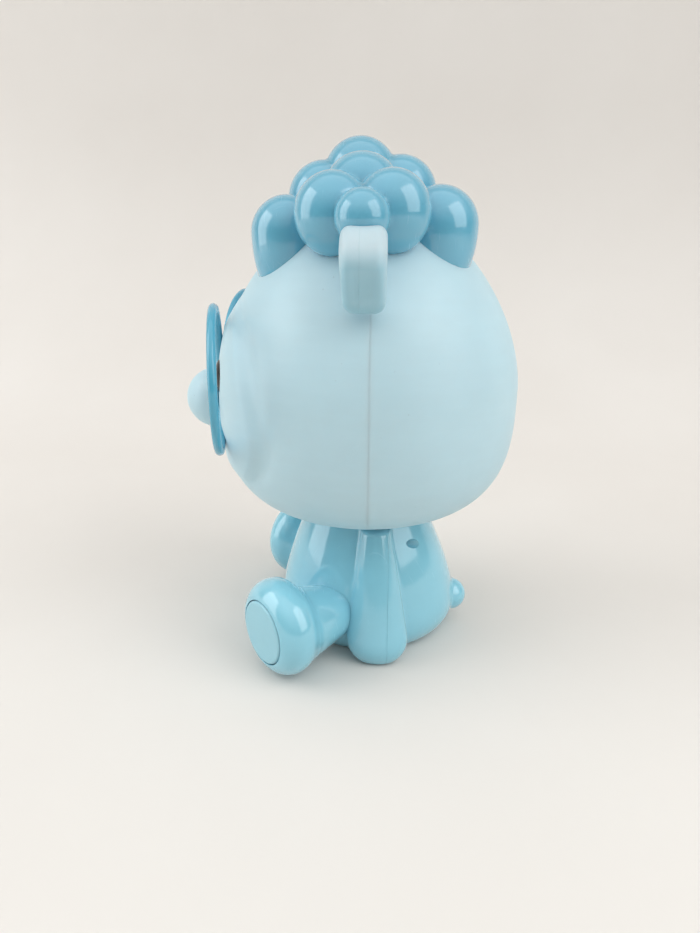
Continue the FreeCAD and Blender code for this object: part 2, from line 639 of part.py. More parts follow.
def make_lamp():
    """The platform on the post, its board, the light chips and two screws."""
    platform = new_body("lamp_platform")
    turn(platform, [("post_radius + 0.02", "post_top - sleeve_length"),
                    ("sleeve_radius", "post_top - sleeve_length"), ("sleeve_radius", "post_top"),
                    ("lamp_radius", "post_top"), ("lamp_radius", "post_top + lamp_thick"),
                    ("wire_hole", "post_top + lamp_thick"), ("wire_hole", "post_top + 0.05"),
                    ("post_radius + 0.02", "post_top + 0.05")])
    pilots = sketch_on(platform, "XY_Plane", "post_top")
    for side in ("0 - ", ""):
        add_circle(pilots, (side + "lamp_radius * 0.72", "0"), "screw_radius + running_gap")
    pocket_up(platform, pilots, "lamp_thick")
    board = new_body("lamp_board")
    outline = sketch_on(board, "XY_Plane", "post_top + lamp_thick")
    add_circle(outline, ("0", "0"), "lamp_board")
    for side in ("0 - ", ""):
        add_circle(outline, (side + "lamp_radius * 0.72", "0"), "screw_clear")
    pad(board, outline, "board_thick")
    level = size("post_top") + size("lamp_thick") + size("board_thick")
    chips = []
    half = size("chip_size") / 2
    for index in range(6):
        chip = box_between((-half, -half, level), (half, half, level + size("chip_thick")))
        chip.translate(Vector(0, size("chip_pitch"), 0))
        chip.rotate(Vector(0, 0, 0), Vector(0, 0, 1), index * 60)
        chips.append(chip)
    store("light_chips", Part.makeCompound(chips))
    seats = [(Vector(side * size("lamp_radius") * 0.72, 0, level), Vector(0, 0, 1)) for side in (1, -1)]
    store_screws("lamp_screws", seats, 4.2)


def store_screws(node, seats, length):
    """A group of equal screws: each has its head's underside at a seat, the head towards 'out'."""
    screws = []
    for seat, out in seats:
        head = Part.makeCylinder(size("screw_head"), size("screw_head_thick"), seat, out)
        dome = [edge for edge in head.Edges if (edge.CenterOfMass - seat).dot(out) > 1]
        head = head.makeFillet(0.5, dome)
        shank = Part.makeCylinder(size("screw_radius"), length, seat - out * length, out)
        slot = box_between((-2, -0.25, 0), (2, 0.25, 0.6))
        slot.Placement = Placement(seat + out * (size("screw_head_thick") - 0.6),
                                   Rotation(Vector(0, 0, 1), out))
        cross = slot.copy()
        cross.Placement = slot.Placement.multiply(Placement(Vector(), Rotation(Vector(0, 0, 1), 90)))
        screws.append(head.fuse(shank).cut(slot).cut(cross))
    store(node, Part.makeCompound(screws))


# ---------------------------------------------------------------- base, batteries and electronics
def make_base():
    """The base plate with its battery bay, switch slot, screw holes and board posts."""
    plate = new_body("base_plate")
    outline = sketch_on(plate, "XY_Plane")
    add_rectangle(outline, ("0", "0"), "plate_wide", "plate_deep")
    slab = pad(plate, outline, "plate_thick")
    doc.recompute()
    upright = ["Edge%d" % (index + 1) for index, edge in enumerate(plate.Shape.Edges)
               if edge.BoundBox.ZLength > 1]
    corners = plate.newObject("PartDesign::Fillet", "plate_corners")
    corners.Base = (slab, upright)
    bind(corners, {"Radius": "plate_corner"})
    bay = sketch_on(plate, "XY_Plane", "plate_thick - 0.4")
    add_rectangle(bay, ("0", "bay_y"), "bay_wide + 2 * bay_wall", "bay_long + 2 * bay_wall")
    pad(plate, bay, "bay_high + bay_roof - plate_thick + 0.4")
    hollow = sketch_on(plate, "XY_Plane")
    add_rectangle(hollow, ("0", "bay_y"), "bay_wide", "bay_long")
    pocket_up(plate, hollow, "bay_high")
    mouth = sketch_on(plate, "XY_Plane")
    add_rectangle(mouth, ("0", "bay_y"), "bay_wide + 2 * door_lap", "bay_long + 2 * door_lap")
    pocket_up(plate, mouth, "plate_thick")
    posts = sketch_on(plate, "XY_Plane", "bay_high + bay_roof")
    for x in ("0 - 12", "12"):
        for y in ("0 - 17", "15"):
            add_circle(posts, (x, y), "main_post")
    pad(plate, posts, "main_level - bay_high - bay_roof")
    pilots = sketch_on(plate, "XY_Plane", "bay_high + 0.8")
    for x, y in BOARD_SCREWS:
        add_circle(pilots, (x, y), "screw_radius + running_gap")
    pocket_up(plate, pilots, "main_level - bay_high")
    walls = sketch_on(plate, "XY_Plane", "plate_thick")
    for side in ("0 - 7.2", "7.2"):
        add_rectangle(walls, (side, "switch_y"), "1.6", "switch_deep")
    pad(plate, walls, "switch_low - plate_thick")
    holes = sketch_on(plate, "XY_Plane")
    recesses = sketch_on(plate, "XY_Plane")
    for x in ("0 - base_screw_x", "base_screw_x"):
        for y in ("0 - base_screw_y", "base_screw_y"):
            add_circle(holes, (x, y), "screw_clear")
            add_circle(recesses, (x, y), "screw_head + 0.3")
    add_rectangle(holes, ("0", "switch_y"), "slot_wide", "slot_deep")
    pocket_up(plate, holes, "plate_thick")
    pocket_up(plate, recesses, "seat_level")
    tab = sketch_on(plate, "XY_Plane")
    add_rectangle(tab, ("0", DOOR_TAB_Y), "tab_wide + 2 * door_gap", "tab_long + 2 * door_gap")
    pocket_up(plate, tab, "plate_thick")
    door_boss = sketch_on(plate, "XY_Plane", "plate_thick")
    add_circle(door_boss, ("0", "0 - door_screw_y"), "boss_radius")
    pad(plate, door_boss, "7")
    door_hole = sketch_on(plate, "XY_Plane", "plate_thick")
    add_circle(door_hole, ("0", "0 - door_screw_y"), "screw_radius + 0.1")
    pocket_up(plate, door_hole, "6")


BOARD_SCREWS = [("0 - 12", "0 - 17"), ("12", "15")]
DOOR_TAB_Y = "0 - door_screw_y + 0.2"


def make_door():
    """The battery door, recessed in the plate, with grip ribs and its screw."""
    door = new_body("battery_door")
    outline = sketch_on(door, "XY_Plane", "door_low")
    add_rectangle(outline, ("0", "bay_y"), "bay_wide + 2 * ( door_lap - door_gap )",
                  "bay_long + 2 * ( door_lap - door_gap )")
    pad(door, outline, "door_thick")
    tab = sketch_on(door, "XY_Plane", "door_low")
    add_rectangle(tab, ("0", DOOR_TAB_Y), "tab_wide", "tab_long")
    pad(door, tab, "door_thick")
    hole = sketch_on(door, "XY_Plane", "door_low")
    add_circle(hole, ("0", "0 - door_screw_y"), "screw_radius + running_gap")
    pocket_up(door, hole, "door_thick")
    recess = sketch_on(door, "XY_Plane", "door_low")
    add_circle(recess, ("0", "0 - door_screw_y"), "screw_head + 0.2")
    pocket_up(door, recess, "seat_level - door_low")
    ribs = sketch_on(door, "XY_Plane", "door_low")
    for index in range(4):
        add_rectangle(ribs, ("0", "%d" % (10 + 3 * index)), "14", "1.2")
    pocket_up(door, ribs, "0.6")


def make_batteries():
    """Three cells lying along Y, with a spring and a plate for each."""
    cells_made, contacts = [], []
    middle_y = size("bay_y")
    front = middle_y - size("bay_long") / 2
    rear = middle_y + size("bay_long") / 2
    thin, spring = size("contact_thick"), size("spring_length")
    radius, level = size("cell_radius"), size("bay_high") - size("cell_radius") - 0.4
    pitch = 2 * radius + 0.4
    for index in (-1, 0, 1):
        x = index * pitch
        start = front + thin + spring + 0.05
        can_end = start + size("cell_length") - 0.9
        can = rod(radius, (x, start, level), (x, can_end, level))
        nub = rod(size("cell_nub"), (x, can_end, level), (x, can_end + 0.9, level))
        cells_made.append(can.fuse(nub))
        plate_front = box_between((x - 4, front + 0.02, level - 4), (x + 4, front + thin, level + 4))
        coil = Part.makeCone(3.4, 2.2, spring, Vector(x, front + thin, level), Vector(0, 1, 0))
        coil = coil.cut(Part.makeCone(2.6, 1.4, spring, Vector(x, front + thin, level), Vector(0, 1, 0)))
        plate_rear = box_between((x - 4, rear - thin, level - 4), (x + 4, rear - 0.02, level + 4))
        contacts += [plate_front.fuse(coil), plate_rear]
    store("battery_cells", Part.makeCompound(cells_made))
    store("battery_contacts", Part.makeCompound(contacts))


def make_electronics():
    """The main board with its components, the switch and the leads."""
    board = new_body("main_board")
    outline = sketch_on(board, "XY_Plane", "main_level")
    add_rectangle(outline, ("0", "0 - 1"), "main_wide", "main_long")
    for x, y in BOARD_SCREWS:
        add_circle(outline, (x, y), "screw_clear")
    pad(board, outline, "board_thick")
    top = size("main_level") + size("board_thick")
    chip = box_between((-6, -9, top), (2, -1, top + 1.6))
    capacitor = Part.makeCylinder(3, 7, Vector(-8, 10, top))
    socket = box_between((4, 2, top), (13, 7, top + 5))
    coil = Part.makeCylinder(3.5, 3.5, Vector(9, -10, top))
    store("board_components", Part.makeCompound([chip, capacitor, socket, coil]))
    seats = [(Vector(number(x), number(y), top), Vector(0, 0, 1)) for x, y in BOARD_SCREWS]
    store_screws("board_screws", seats, 5.0)
    wide, deep, y = size("switch_wide"), size("switch_deep"), size("switch_y")
    housing = box_between((-wide / 2, y - deep / 2, size("switch_low")),
                          (wide / 2, y + deep / 2, size("switch_high")))
    store("switch_housing", housing)
    rest = -size("switch_travel") / 2
    knob_x, knob_y = size("knob_wide") / 2, size("knob_deep") / 2
    knob = box_between((rest - knob_x, y - knob_y, size("knob_low")), (rest + knob_x, y + knob_y, 3))
    for offset in (-1.2, 0, 1.2):
        groove = box_between((rest + offset - 0.25, y - 3, size("knob_low") - 1),
                             (rest + offset + 0.25, y + 3, size("knob_low") + 0.4))
        knob = knob.cut(groove)
    low = size("plate_thick") + 0.15
    flange = box_between((rest - 4.0, y - 2.3, low), (rest + 4.0, y + 2.3, low + 1.2))
    store("switch_knob", knob.fuse(flange))


def lead(route, radius, bend):
    """A wire of straight runs joined by tangent arcs."""
    points = [Vector(*point) for point in route]
    edges, start = [], points[0]
    for before, corner, after in zip(points, points[1:], points[2:]):
        arrive = (corner - before).normalize()
        leave = (after - corner).normalize()
        angle = arrive.getAngle(leave)
        trim = bend * math.tan(angle / 2)
        into, away = corner - arrive * trim, corner + leave * trim
        inward = (leave - arrive).normalize()
        centre = corner + inward * (bend / math.cos(angle / 2))
        edges.append(Part.LineSegment(start, into).toShape())
        edges.append(Part.Arc(into, centre - inward * bend, away).toShape())
        start = away
    edges.append(Part.LineSegment(start, points[-1]).toShape())
    path = Part.Wire(edges)
    first = (points[1] - points[0]).normalize()
    ring = Part.Wire(Part.Circle(points[0], first, radius).toShape())
    tube = path.makePipeShell([ring], True, False)
    want = math.pi * radius ** 2 * path.Length
    print("lead volume over section times length: %.4f, bend radius %.1f" % (tube.Volume / want, bend))
    return tube


def make_leads():
    """The lamp lead up the post and the battery lead from the bay to the main board."""
    top = size("main_level") + size("board_thick")
    lamp_level = size("post_top") + size("lamp_thick")
    lamp = lead([(8.5, 4.5, top + 5), (8.5, 4.5, 40), (0, 0, 54), (0, 0, lamp_level)],
                size("wire_radius"), 8.0)
    store("lamp_lead", lamp)
    wall_x = size("bay_wide") / 2 + size("bay_wall")
    battery = lead([(wall_x + 1.2, -4, 6), (wall_x + 1.2, -4, 27), (12, -4, 27), (12, -4, top)],
                   0.8, 2.6)
    store("battery_lead", battery)


# ---------------------------------------------------------------- build everything
body_outside = make_torso()
make_leg(1, "left", body_outside)
make_leg(-1, "right", body_outside)
head_outside = make_head()
make_face(head_outside)
hair_outside = make_hair(head_outside)
make_ear(1, "left_ear", head_outside, hair_outside)
make_ear(-1, "right_ear", head_outside, hair_outside)
make_glasses()
make_neck()
make_lamp()
make_base()
make_door()
make_batteries()
make_electronics()
make_leads()

up = Vector(0, 0, 1)
store_screws("base_screws", [(Vector(x * size("base_screw_x"), y * size("base_screw_y"), size("seat_level")), -up)
                             for x in (1, -1) for y in (1, -1)], 9.0)
store_screws("back_screws", [(Vector(x * size("back_screw_x"), size("torso_seam_y") + 7.5,
                                     size("back_screw_level")), Vector(0, 1, 0))
                             for x in (1, -1)], 16.0)
leg_seats = []
for which in (1, -1):
    line_point, way_out = leg_screw_line(which)
    leg_seats.append((line_point - way_out * 26.2, way_out * -1))
store_screws("leg_screws", leg_seats, 11.0)
store_screws("door_screw", [(Vector(0, -size("door_screw_y"), size("seat_level")), -up)], 6.0)

doc.recompute()
for obj in doc.Objects:
    if "Invalid" in obj.State or "Error" in obj.State:
        raise RuntimeError("%s failed: %s" % (obj.Label, obj.State))
for obj in subparts:
    if obj.Shape.isNull() or not obj.Shape.isValid():
        raise RuntimeError("%s has no valid shape" % obj.Label)
for obj in subparts:
    obj.Shape.exportStep("parts/%s.step" % obj.Label)
    print("%-20s %2d solids %10.0f mm3" % (obj.Label, len(obj.Shape.Solids), obj.Shape.Volume))
print("%d sub-parts" % len(subparts))
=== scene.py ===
import bmesh
import bpy
import json
import math
import numpy as np
from mathutils import Matrix, Vector


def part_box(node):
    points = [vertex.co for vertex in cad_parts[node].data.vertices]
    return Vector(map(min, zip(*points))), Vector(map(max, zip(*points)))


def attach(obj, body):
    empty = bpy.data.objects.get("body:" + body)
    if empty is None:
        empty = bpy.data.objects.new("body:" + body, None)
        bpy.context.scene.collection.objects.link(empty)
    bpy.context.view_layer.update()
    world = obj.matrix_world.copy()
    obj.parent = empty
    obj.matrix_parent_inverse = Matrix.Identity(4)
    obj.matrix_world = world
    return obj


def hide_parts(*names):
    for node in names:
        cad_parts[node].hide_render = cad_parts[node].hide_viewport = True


# A seated puppy night light.  Forms are worked out in millimetres in the CAD frame:
# +Z is up, the puppy looks along -Y and its left is +X.

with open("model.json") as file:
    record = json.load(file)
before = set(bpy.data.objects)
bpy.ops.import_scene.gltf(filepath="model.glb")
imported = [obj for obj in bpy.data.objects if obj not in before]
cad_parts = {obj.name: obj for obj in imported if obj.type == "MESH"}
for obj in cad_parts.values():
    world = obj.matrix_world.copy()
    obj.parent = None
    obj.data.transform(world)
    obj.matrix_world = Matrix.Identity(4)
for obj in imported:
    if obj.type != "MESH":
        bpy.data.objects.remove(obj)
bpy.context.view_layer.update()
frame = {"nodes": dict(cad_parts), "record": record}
nodes = frame["nodes"]
MM = 0.001
SIDES = (("left", 1), ("right", -1))


def cad(node):
    """A CAD node's lowest and highest corners in millimetres."""
    low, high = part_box(node)
    return np.array(low) / MM, np.array(high) / MM


# ---------------------------------------------------------------- sizes, mm
head_front_low, head_front_high = cad("head_front_shell")
head_rear_low, head_rear_high = cad("head_rear_shell")
torso_high = cad("torso_front_shell")[1]
nose_low, nose_high = cad("nose")
ear_low, ear_high = cad("left_ear")

# The cells of the grids that the skins are drawn on: tighter forms have finer ones.
HEAD_CELL, TORSO_CELL, HAIR_CELL, LIMB_CELL, GLASSES_CELL, BOSS_CELL = 1.3, 1.0, 1.0, 0.8, 0.7, 0.6
# Legs, hair and ears reach this far into the wall behind them, so that no gap shows.
EMBED, EMBED_BLEND = 0.8, 0.4
# The halves of a shell: their walls, their distance from the seam and the rounding of their lips.
HEAD_WALL, HEAD_GAP, HEAD_LIP = 2.0, 0.004, 0.03
BODY_WALL, BODY_GAP, BODY_LIP = 2.2, 0.03, 0.12

# The head is round in plan. Its outline follows one power above its widest level, another below.
HEAD_RADIUS = head_rear_high[0]
HEAD_SEAM = head_rear_low[1]
HEAD_TOP = head_rear_high[2]
HEAD_LEVEL, HEAD_RISE, HEAD_DROP = 136.0, 87.4, 66.4
HEAD_RISE_POWER, HEAD_DROP_POWER = 1.76, 3.175
NECK_OPEN, NECK_OPEN_LOW, NECK_OPEN_HIGH = 24.0, 60, 76

# The flat of the face, and the crowned panel on it with a groove round its edge.
FACE_FLAT, FACE_BLEND = 72.6, 3.0
FACE_LEVEL, FACE_WIDE, FACE_RISE, FACE_FALL = 120.0, 57.0, 60.0, 37.0
FACE_CROWN, FACE_GROOVE = 1.8, 1.0
# Shares: the crown left in the panel's middle, then how far out the lip rises and the edge falls.
FACE_MIDDLE, FACE_LIP, FACE_EDGE = 0.35, (0.45, 0.9), (0.96, 1.02)
FACE_GROOVE_AT, FACE_SOFT = 1.045, 0.055
# The panel starts to fade at the first two shares, above and below, and is gone after the third.
# It sets in between these distances in front of the neck's axis.
FACE_FADE_TOP, FACE_FADE_FOOT, FACE_FADE = 0.75, 0.45, 0.3
FACE_FRONT = (15, 30)
RIM_GAP, RIM_BLEND = 0.3, 0.8

# The torso's and the arm's half sizes are given at the floor, at the widest level and at the top.
TORSO_TOP = torso_high[2]
TORSO_SEAM = torso_high[1]
TORSO_WIDEST = 18.0
TORSO_WIDE = (33.5, 41.5, 28.0)
TORSO_DEEP = (38.0, 47.3, 31.0)
TORSO_SHIFT, TORSO_TAPER = 1.8, 1.5
TORSO_LOW, TORSO_HIGH = (-60.0, -50, 0), (60.0, 60, TORSO_TOP)
ARM_TOP, ARM_WIDEST, ARM_TAPER, ARM_LEAN, ARM_BLEND = 68.0, 14.0, 1.0, 1.3, 1.6
ARM_THICK = (4.0, 9.5, 7.5)
ARM_DEEP = (8.0, 15.5, 7.4)
# The arm's middle at the floor and at its top.
ARM_SIDE = (43.5, 29.0)
ARM_Y = (7.2, 5.4)
TAIL_RADIUS, TAIL_BACK, TAIL_LEVEL, TAIL_BLEND = 8.7, 47.4, 16.0, 1.2
BACK_SCREW = (24.0, 57.2)
BACK_RECESS, BACK_BOSS, SCREW_SEAT = 2.4, 5.0, 7.5
BOSS_HALF, BOSS_FROM, BOSS_TO, BOSS_UNDER, BOSS_BLEND = 6, 5, 34.0, 0.8, 0.3
RECESS_END = 44.0
PLATE_GAP, PLATE_CORNER, PLATE_HIGH = 0.3, 26.0, 6.0
# A cutter starts and ends past the wall that it goes through.
NECK_BORE, NECK_BORE_DOWN, NECK_BORE_UP, PLATE_LOW, PAD_CUT, EYE_CUT = 10.0, 8, 3, -3.0, 6, (10, 8)

FOOT_RADIUS, FOOT_FRONT, FOOT_BACK, FOOT_ROUND = 24.2, 17.0, 4.2, 10.4
FOOT_MIDDLE = (49.1, -35.6, 25.3)
FOOT_SPLAY = math.radians(39.5)
THIGH_RADIUS, THIGH_LENGTH, THIGH_TAPER, THIGH_DROP = 19.0, 34.0, 8.5, 2.7
THIGH_BLEND = 4.5
PAD_RADIUS, PAD_RECESS, PAD_DEPTH, PAD_PROUD = 15.7, 16.3, 2.4, 0.4
PAD_FOOT, PAD_RIM, PAD_CROWN = 0.4, 1.2, 0.25

NOSE_BACK, NOSE_EDGE = -2.0, 1.2
EYE_RADIUS, EYE_SIDE, EYE_LEVEL, EYE_PROUD = 8.3, 22.0, 142.0, 2.3
EYE_GAP, EYE_DEPTH, EYE_STEP = 0.15, 5.0, 0.25
LENS_RADIUS, RIM_RADIUS, LENS_SIDE, LENS_FORWARD, LENS_LEVEL = 32.4, 2.0, 39.0, 68.1, 144.0
LENS_WRAP = math.radians(9.4)
BRIDGE_RISE, BRIDGE_THIN, BRIDGE_BLEND = 13.0, 0.95, 1.4
PEG_RADIUS, PEG_LENGTH, PEG_BLEND = 1.5, 4.5, 0.8

EAR_MIDDLE = (ear_low[1] + ear_high[1]) / 2
EAR_THICK, EAR_BEND, EAR_ROUND, EAR_CURL = 12.0, 17.0, 4.6, 0.019
# The ear hangs lower than the CAD's, drifts back, narrows and curls in towards its tip. Its grid
# reaches further in for that curl.
EAR_LONGER, EAR_DRIFT, EAR_NARROW, EAR_TUCK = 1.0, 0.8, 1.2, 4
EAR_DISH, EAR_RIM = 1.1, 2.0
EAR_LINE, EAR_LINE_WIDE, EAR_LINE_DEEP = 1.6, 0.3, 0.1

# Each curl: side, y, level, half sizes across, along and up, and the half size down.
# A curl with side zero is on the middle line, and the others stand in pairs.
CURLS = (
    (19.0, -36.6, 207.7, (16.5, 16.5, 16.5), 34.0),
    (20.0, 31.3, 211.0, (17.5, 17.5, 17.5), 31.0),
    (41.0, -14.7, 215.6, (15.0, 16.5, 17.2), 17.4),
    (41.0, 9.8, 216.6, (15.0, 16.5, 17.2), 17.4),
    (0.0, -21.1, 222.9, (17.0, 17.0, 17.0), 17.0),
    (0.0, 14.1, 225.3, (17.0, 17.0, 17.0), 17.0),
    (0.0, -4.4, 233.0, (17.0, 17.0, 17.0), 17.0),
    (22.0, -3.0, 224.4, (17.3, 17.3, 17.3), 17.3),
    (58.0, -2.2, 214.3, (11.2, 11.2, 11.2), 11.2),
)


# ---------------------------------------------------------------- distance fields
def smooth_min(first, second, blend):
    """The lower of two fields, rounded where they meet."""
    share = np.clip(0.5 + 0.5 * (second - first) / blend, 0, 1)
    return second + (first - second) * share - blend * share * (1 - share)


def smooth_max(first, second, blend):
    """The higher of two fields, rounded where they meet."""
    return -smooth_min(-first, -second, blend)


def soft_step(value, low, high):
    """0 below low, 1 above high and smooth in between."""
    share = np.clip((value - low) / (high - low), 0, 1)
    return share * share * (3 - 2 * share)


def swell(level, widest, top, sizes, power):
    """A half size that swells from the base to its widest level, then tapers to the top."""
    at_low, at_widest, at_top = sizes
    below = np.clip((widest - level) / widest, 0, 1.2) ** 2.5
    above = np.clip((level - widest) / (top - widest), 0, 1.2) ** power
    return at_widest + (at_low - at_widest) * below + (at_top - at_widest) * above


def oval(p, half_x, half_y, middle_x, middle_y):
    """An upright form with an elliptical section at each level."""
    across = np.sqrt(((p[:, 0] - middle_x) / half_x) ** 2 + ((p[:, 1] - middle_y) / half_y) ** 2)
    return (across - 1) * np.minimum(half_x, half_y)


def rounded(p, middle, along, half_length, radius, edge):
    """A round drum with rounded rims."""
    offset = p - middle
    run = offset @ along
    out = np.sqrt(np.maximum((offset ** 2).sum(1) - run ** 2, 1e-9))
    side = out - (radius - edge)
    end = np.abs(run) - (half_length - edge)
    outside = np.sqrt(np.maximum(side, 0) ** 2 + np.maximum(end, 0) ** 2)
    return np.minimum(np.maximum(side, end), 0) + outside - edge


def ring(p, side):
    """One rim of the glasses as a distance."""
    middle = np.array([side * LENS_SIDE, -LENS_FORWARD, LENS_LEVEL])
    facing = np.array([side * math.sin(LENS_WRAP), -math.cos(LENS_WRAP), 0])
    offset = p - middle
    run = offset @ facing
    out = np.sqrt(np.maximum((offset ** 2).sum(1) - run ** 2, 1e-9))
    return np.sqrt((out - LENS_RADIUS) ** 2 + run ** 2) - RIM_RADIUS


def head_round(p):
    """The head before its face is shaped."""
    rise = p[:, 2] - HEAD_LEVEL
    up = rise > 0
    power = np.where(up, HEAD_RISE_POWER, HEAD_DROP_POWER)
    share = np.abs(rise) / np.where(up, HEAD_RISE, HEAD_DROP)
    out = np.hypot(p[:, 0], p[:, 1]) / HEAD_RADIUS
    return ((out ** power + share ** power) ** (1 / power) - 1) * HEAD_RADIUS


def head_field(p):
    """The head with its crowned face panel, the groove round it and the beds of the glasses."""
    field = smooth_max(head_round(p), -p[:, 1] - FACE_FLAT, FACE_BLEND)
    above = p[:, 2] > FACE_LEVEL
    share = np.abs(p[:, 2] - FACE_LEVEL) / np.where(above, FACE_RISE, FACE_FALL)
    reach = np.hypot(p[:, 0] / FACE_WIDE, share)
    lip = FACE_MIDDLE + (1 - FACE_MIDDLE) * soft_step(reach, *FACE_LIP)
    crown = FACE_CROWN * lip * (1 - soft_step(reach, *FACE_EDGE))
    groove = FACE_GROOVE * np.exp(-((reach - FACE_GROOVE_AT) / FACE_SOFT) ** 2)
    fade = 1 - soft_step(share - np.where(above, FACE_FADE_TOP, FACE_FADE_FOOT), 0.0, FACE_FADE)
    front = soft_step(-p[:, 1], *FACE_FRONT) * fade
    field = field + (groove - crown) * front
    for _, side in SIDES:
        field = smooth_max(field, RIM_GAP - ring(p, side), RIM_BLEND)
    return smooth_max(field, p[:, 2] - HEAD_TOP, 1.0)


def curl_field(offset, half, down):
    """An egg-shaped curl round its own middle, longer below it than above."""
    height = np.where(offset[:, 2] > 0, half[2], down)
    across, along = np.full(len(offset), half[0]), np.full(len(offset), half[1])
    scaled = offset / np.stack([across, along, height], 1)
    return (np.sqrt((scaled ** 2).sum(1)) - 1) * min(half)


def hair_field(p):
    """The curls as one moulding, cut to sit on the head."""
    field = None
    for side_x, y, level, half, down in CURLS:
        offset = p - np.array([0, y, level])
        offset[:, 0] = np.abs(offset[:, 0]) - side_x if side_x else offset[:, 0]
        curl = curl_field(offset, half, down)
        field = curl if field is None else smooth_min(field, curl, 1.0)
    return smooth_max(field, -EMBED - head_round(p), EMBED_BLEND)


def torso_field(p):
    """Torso, arms and tail."""
    level = p[:, 2]
    rise = np.clip((level - TORSO_WIDEST) / (TORSO_TOP - TORSO_WIDEST), 0, 1)
    body = oval(p, swell(level, TORSO_WIDEST, TORSO_TOP, TORSO_WIDE, TORSO_TAPER),
                swell(level, TORSO_WIDEST, TORSO_TOP, TORSO_DEEP, TORSO_TAPER),
                0, TORSO_SHIFT * (1 - rise))
    body = smooth_max(body, level - TORSO_TOP, 1.5)
    rise = np.clip(level / ARM_TOP, 0, 1.1)
    folded = p.copy()
    folded[:, 0] = np.abs(p[:, 0])
    arm = oval(folded, swell(level, ARM_WIDEST, ARM_TOP, ARM_THICK, ARM_TAPER),
               swell(level, ARM_WIDEST, ARM_TOP, ARM_DEEP, ARM_TAPER),
               ARM_SIDE[0] + (ARM_SIDE[1] - ARM_SIDE[0]) * rise ** ARM_LEAN,
               ARM_Y[0] + (ARM_Y[1] - ARM_Y[0]) * rise)
    arm = smooth_max(arm, level - ARM_TOP, 2.0)
    tail = np.sqrt(((p - np.array([0, TAIL_BACK, TAIL_LEVEL])) ** 2).sum(1)) - TAIL_RADIUS
    field = smooth_min(smooth_min(body, arm, ARM_BLEND), tail, TAIL_BLEND)
    return smooth_max(field, -level, 2.0)


def boss_field(p, x, level):
    """The round boss behind a back screw, ending just under the torso's outside."""
    out = np.hypot(p[:, 0] - x, p[:, 2] - level) - BACK_BOSS
    field = smooth_max(out, TORSO_SEAM + SCREW_SEAT - BODY_WALL - p[:, 1], BOSS_BLEND)
    return smooth_max(field, torso_field(p) + BOSS_UNDER, BOSS_BLEND)


def leg_axis(side):
    """The foot's middle and the unit vector out through its sole."""
    middle = np.array([side * FOOT_MIDDLE[0], FOOT_MIDDLE[1], FOOT_MIDDLE[2]])
    return middle, np.array([side * math.sin(FOOT_SPLAY), -math.cos(FOOT_SPLAY), 0])


def leg_field(p, side):
    """A drum-shaped foot on a short thigh that ends against the torso."""
    middle, out = leg_axis(side)
    half = (FOOT_FRONT + FOOT_BACK) / 2
    foot = rounded(p, middle + out * (FOOT_FRONT - half), out, half, FOOT_RADIUS, FOOT_ROUND)
    start = middle - out * FOOT_BACK - np.array([0, 0, THIGH_DROP])
    run = np.clip(-((p - start) @ out), 0, THIGH_LENGTH)
    thigh = np.sqrt(((p - start + run[:, None] * out) ** 2).sum(1))
    thigh = thigh - THIGH_RADIUS + THIGH_TAPER * run / THIGH_LENGTH
    field = smooth_min(foot, thigh, THIGH_BLEND)
    return smooth_max(field, -EMBED - torso_field(p), EMBED_BLEND)


def ear_field(p, side):
    """A flat band that arches out from under the hair and hangs, with a dished outer face."""
    x = p[:, 0] * side
    out, top, tip = ear_high[0], ear_high[2], ear_low[2] - EAR_LONGER
    half = EAR_THICK / 2
    turn_x, turn_z = out - EAR_BEND, top - EAR_BEND
    arc = EAR_BEND - half
    x = x + EAR_CURL * np.clip(turn_z + 3 - p[:, 2], 0, None) ** 2
    across, up = x - turn_x, p[:, 2] - turn_z
    droop = np.clip((turn_z + 6 - p[:, 2]) / 30, 0, 1)
    middle_y = EAR_MIDDLE + EAR_DRIFT * droop
    half_wide = (ear_high[1] - ear_low[1]) / 2 - EAR_NARROW * droop
    beside = np.abs(p[:, 1] - middle_y)
    dish = EAR_DISH * soft_step(half_wide - EAR_RIM - beside, 0, 4.0)
    dish = dish * soft_step(turn_z + 5 - p[:, 2], 0, 7.0)
    dish = dish * soft_step(p[:, 2] - tip - 3.0, 0, 5.0)
    flat = np.abs(up - arc)
    bend = np.hypot(across, up) - arc
    hang = across - arc
    bend = np.abs(bend) + np.where(bend > 0, dish, 0)
    hang = np.abs(hang) + np.where(hang > 0, dish, 0)
    thick = np.where(across < 0, flat, np.where(up > 0, bend, hang)) - (half - EAR_ROUND)
    wide = beside - (half_wide - EAR_ROUND)
    end = np.where(across < 0, -1e3, tip + EAR_ROUND - p[:, 2])
    q = np.stack([thick, wide, end], 1)
    band = np.sqrt((np.maximum(q, 0) ** 2).sum(1)) + np.minimum(q.max(1), 0) - EAR_ROUND
    field = smooth_max(band, ear_low[0] - x, 1.0)
    field = smooth_max(field, -EMBED - head_round(p), EMBED_BLEND)
    return smooth_max(field, -EMBED - hair_ball(p, side), EMBED_BLEND)


def hair_ball(p, side):
    """The small curl that an ear comes out from under."""
    side_x, y, level, half, _ = CURLS[-1]
    scaled = (p - np.array([side * side_x, y, level])) / np.array(half)
    return (np.sqrt((scaled ** 2).sum(1)) - 1) * min(half)


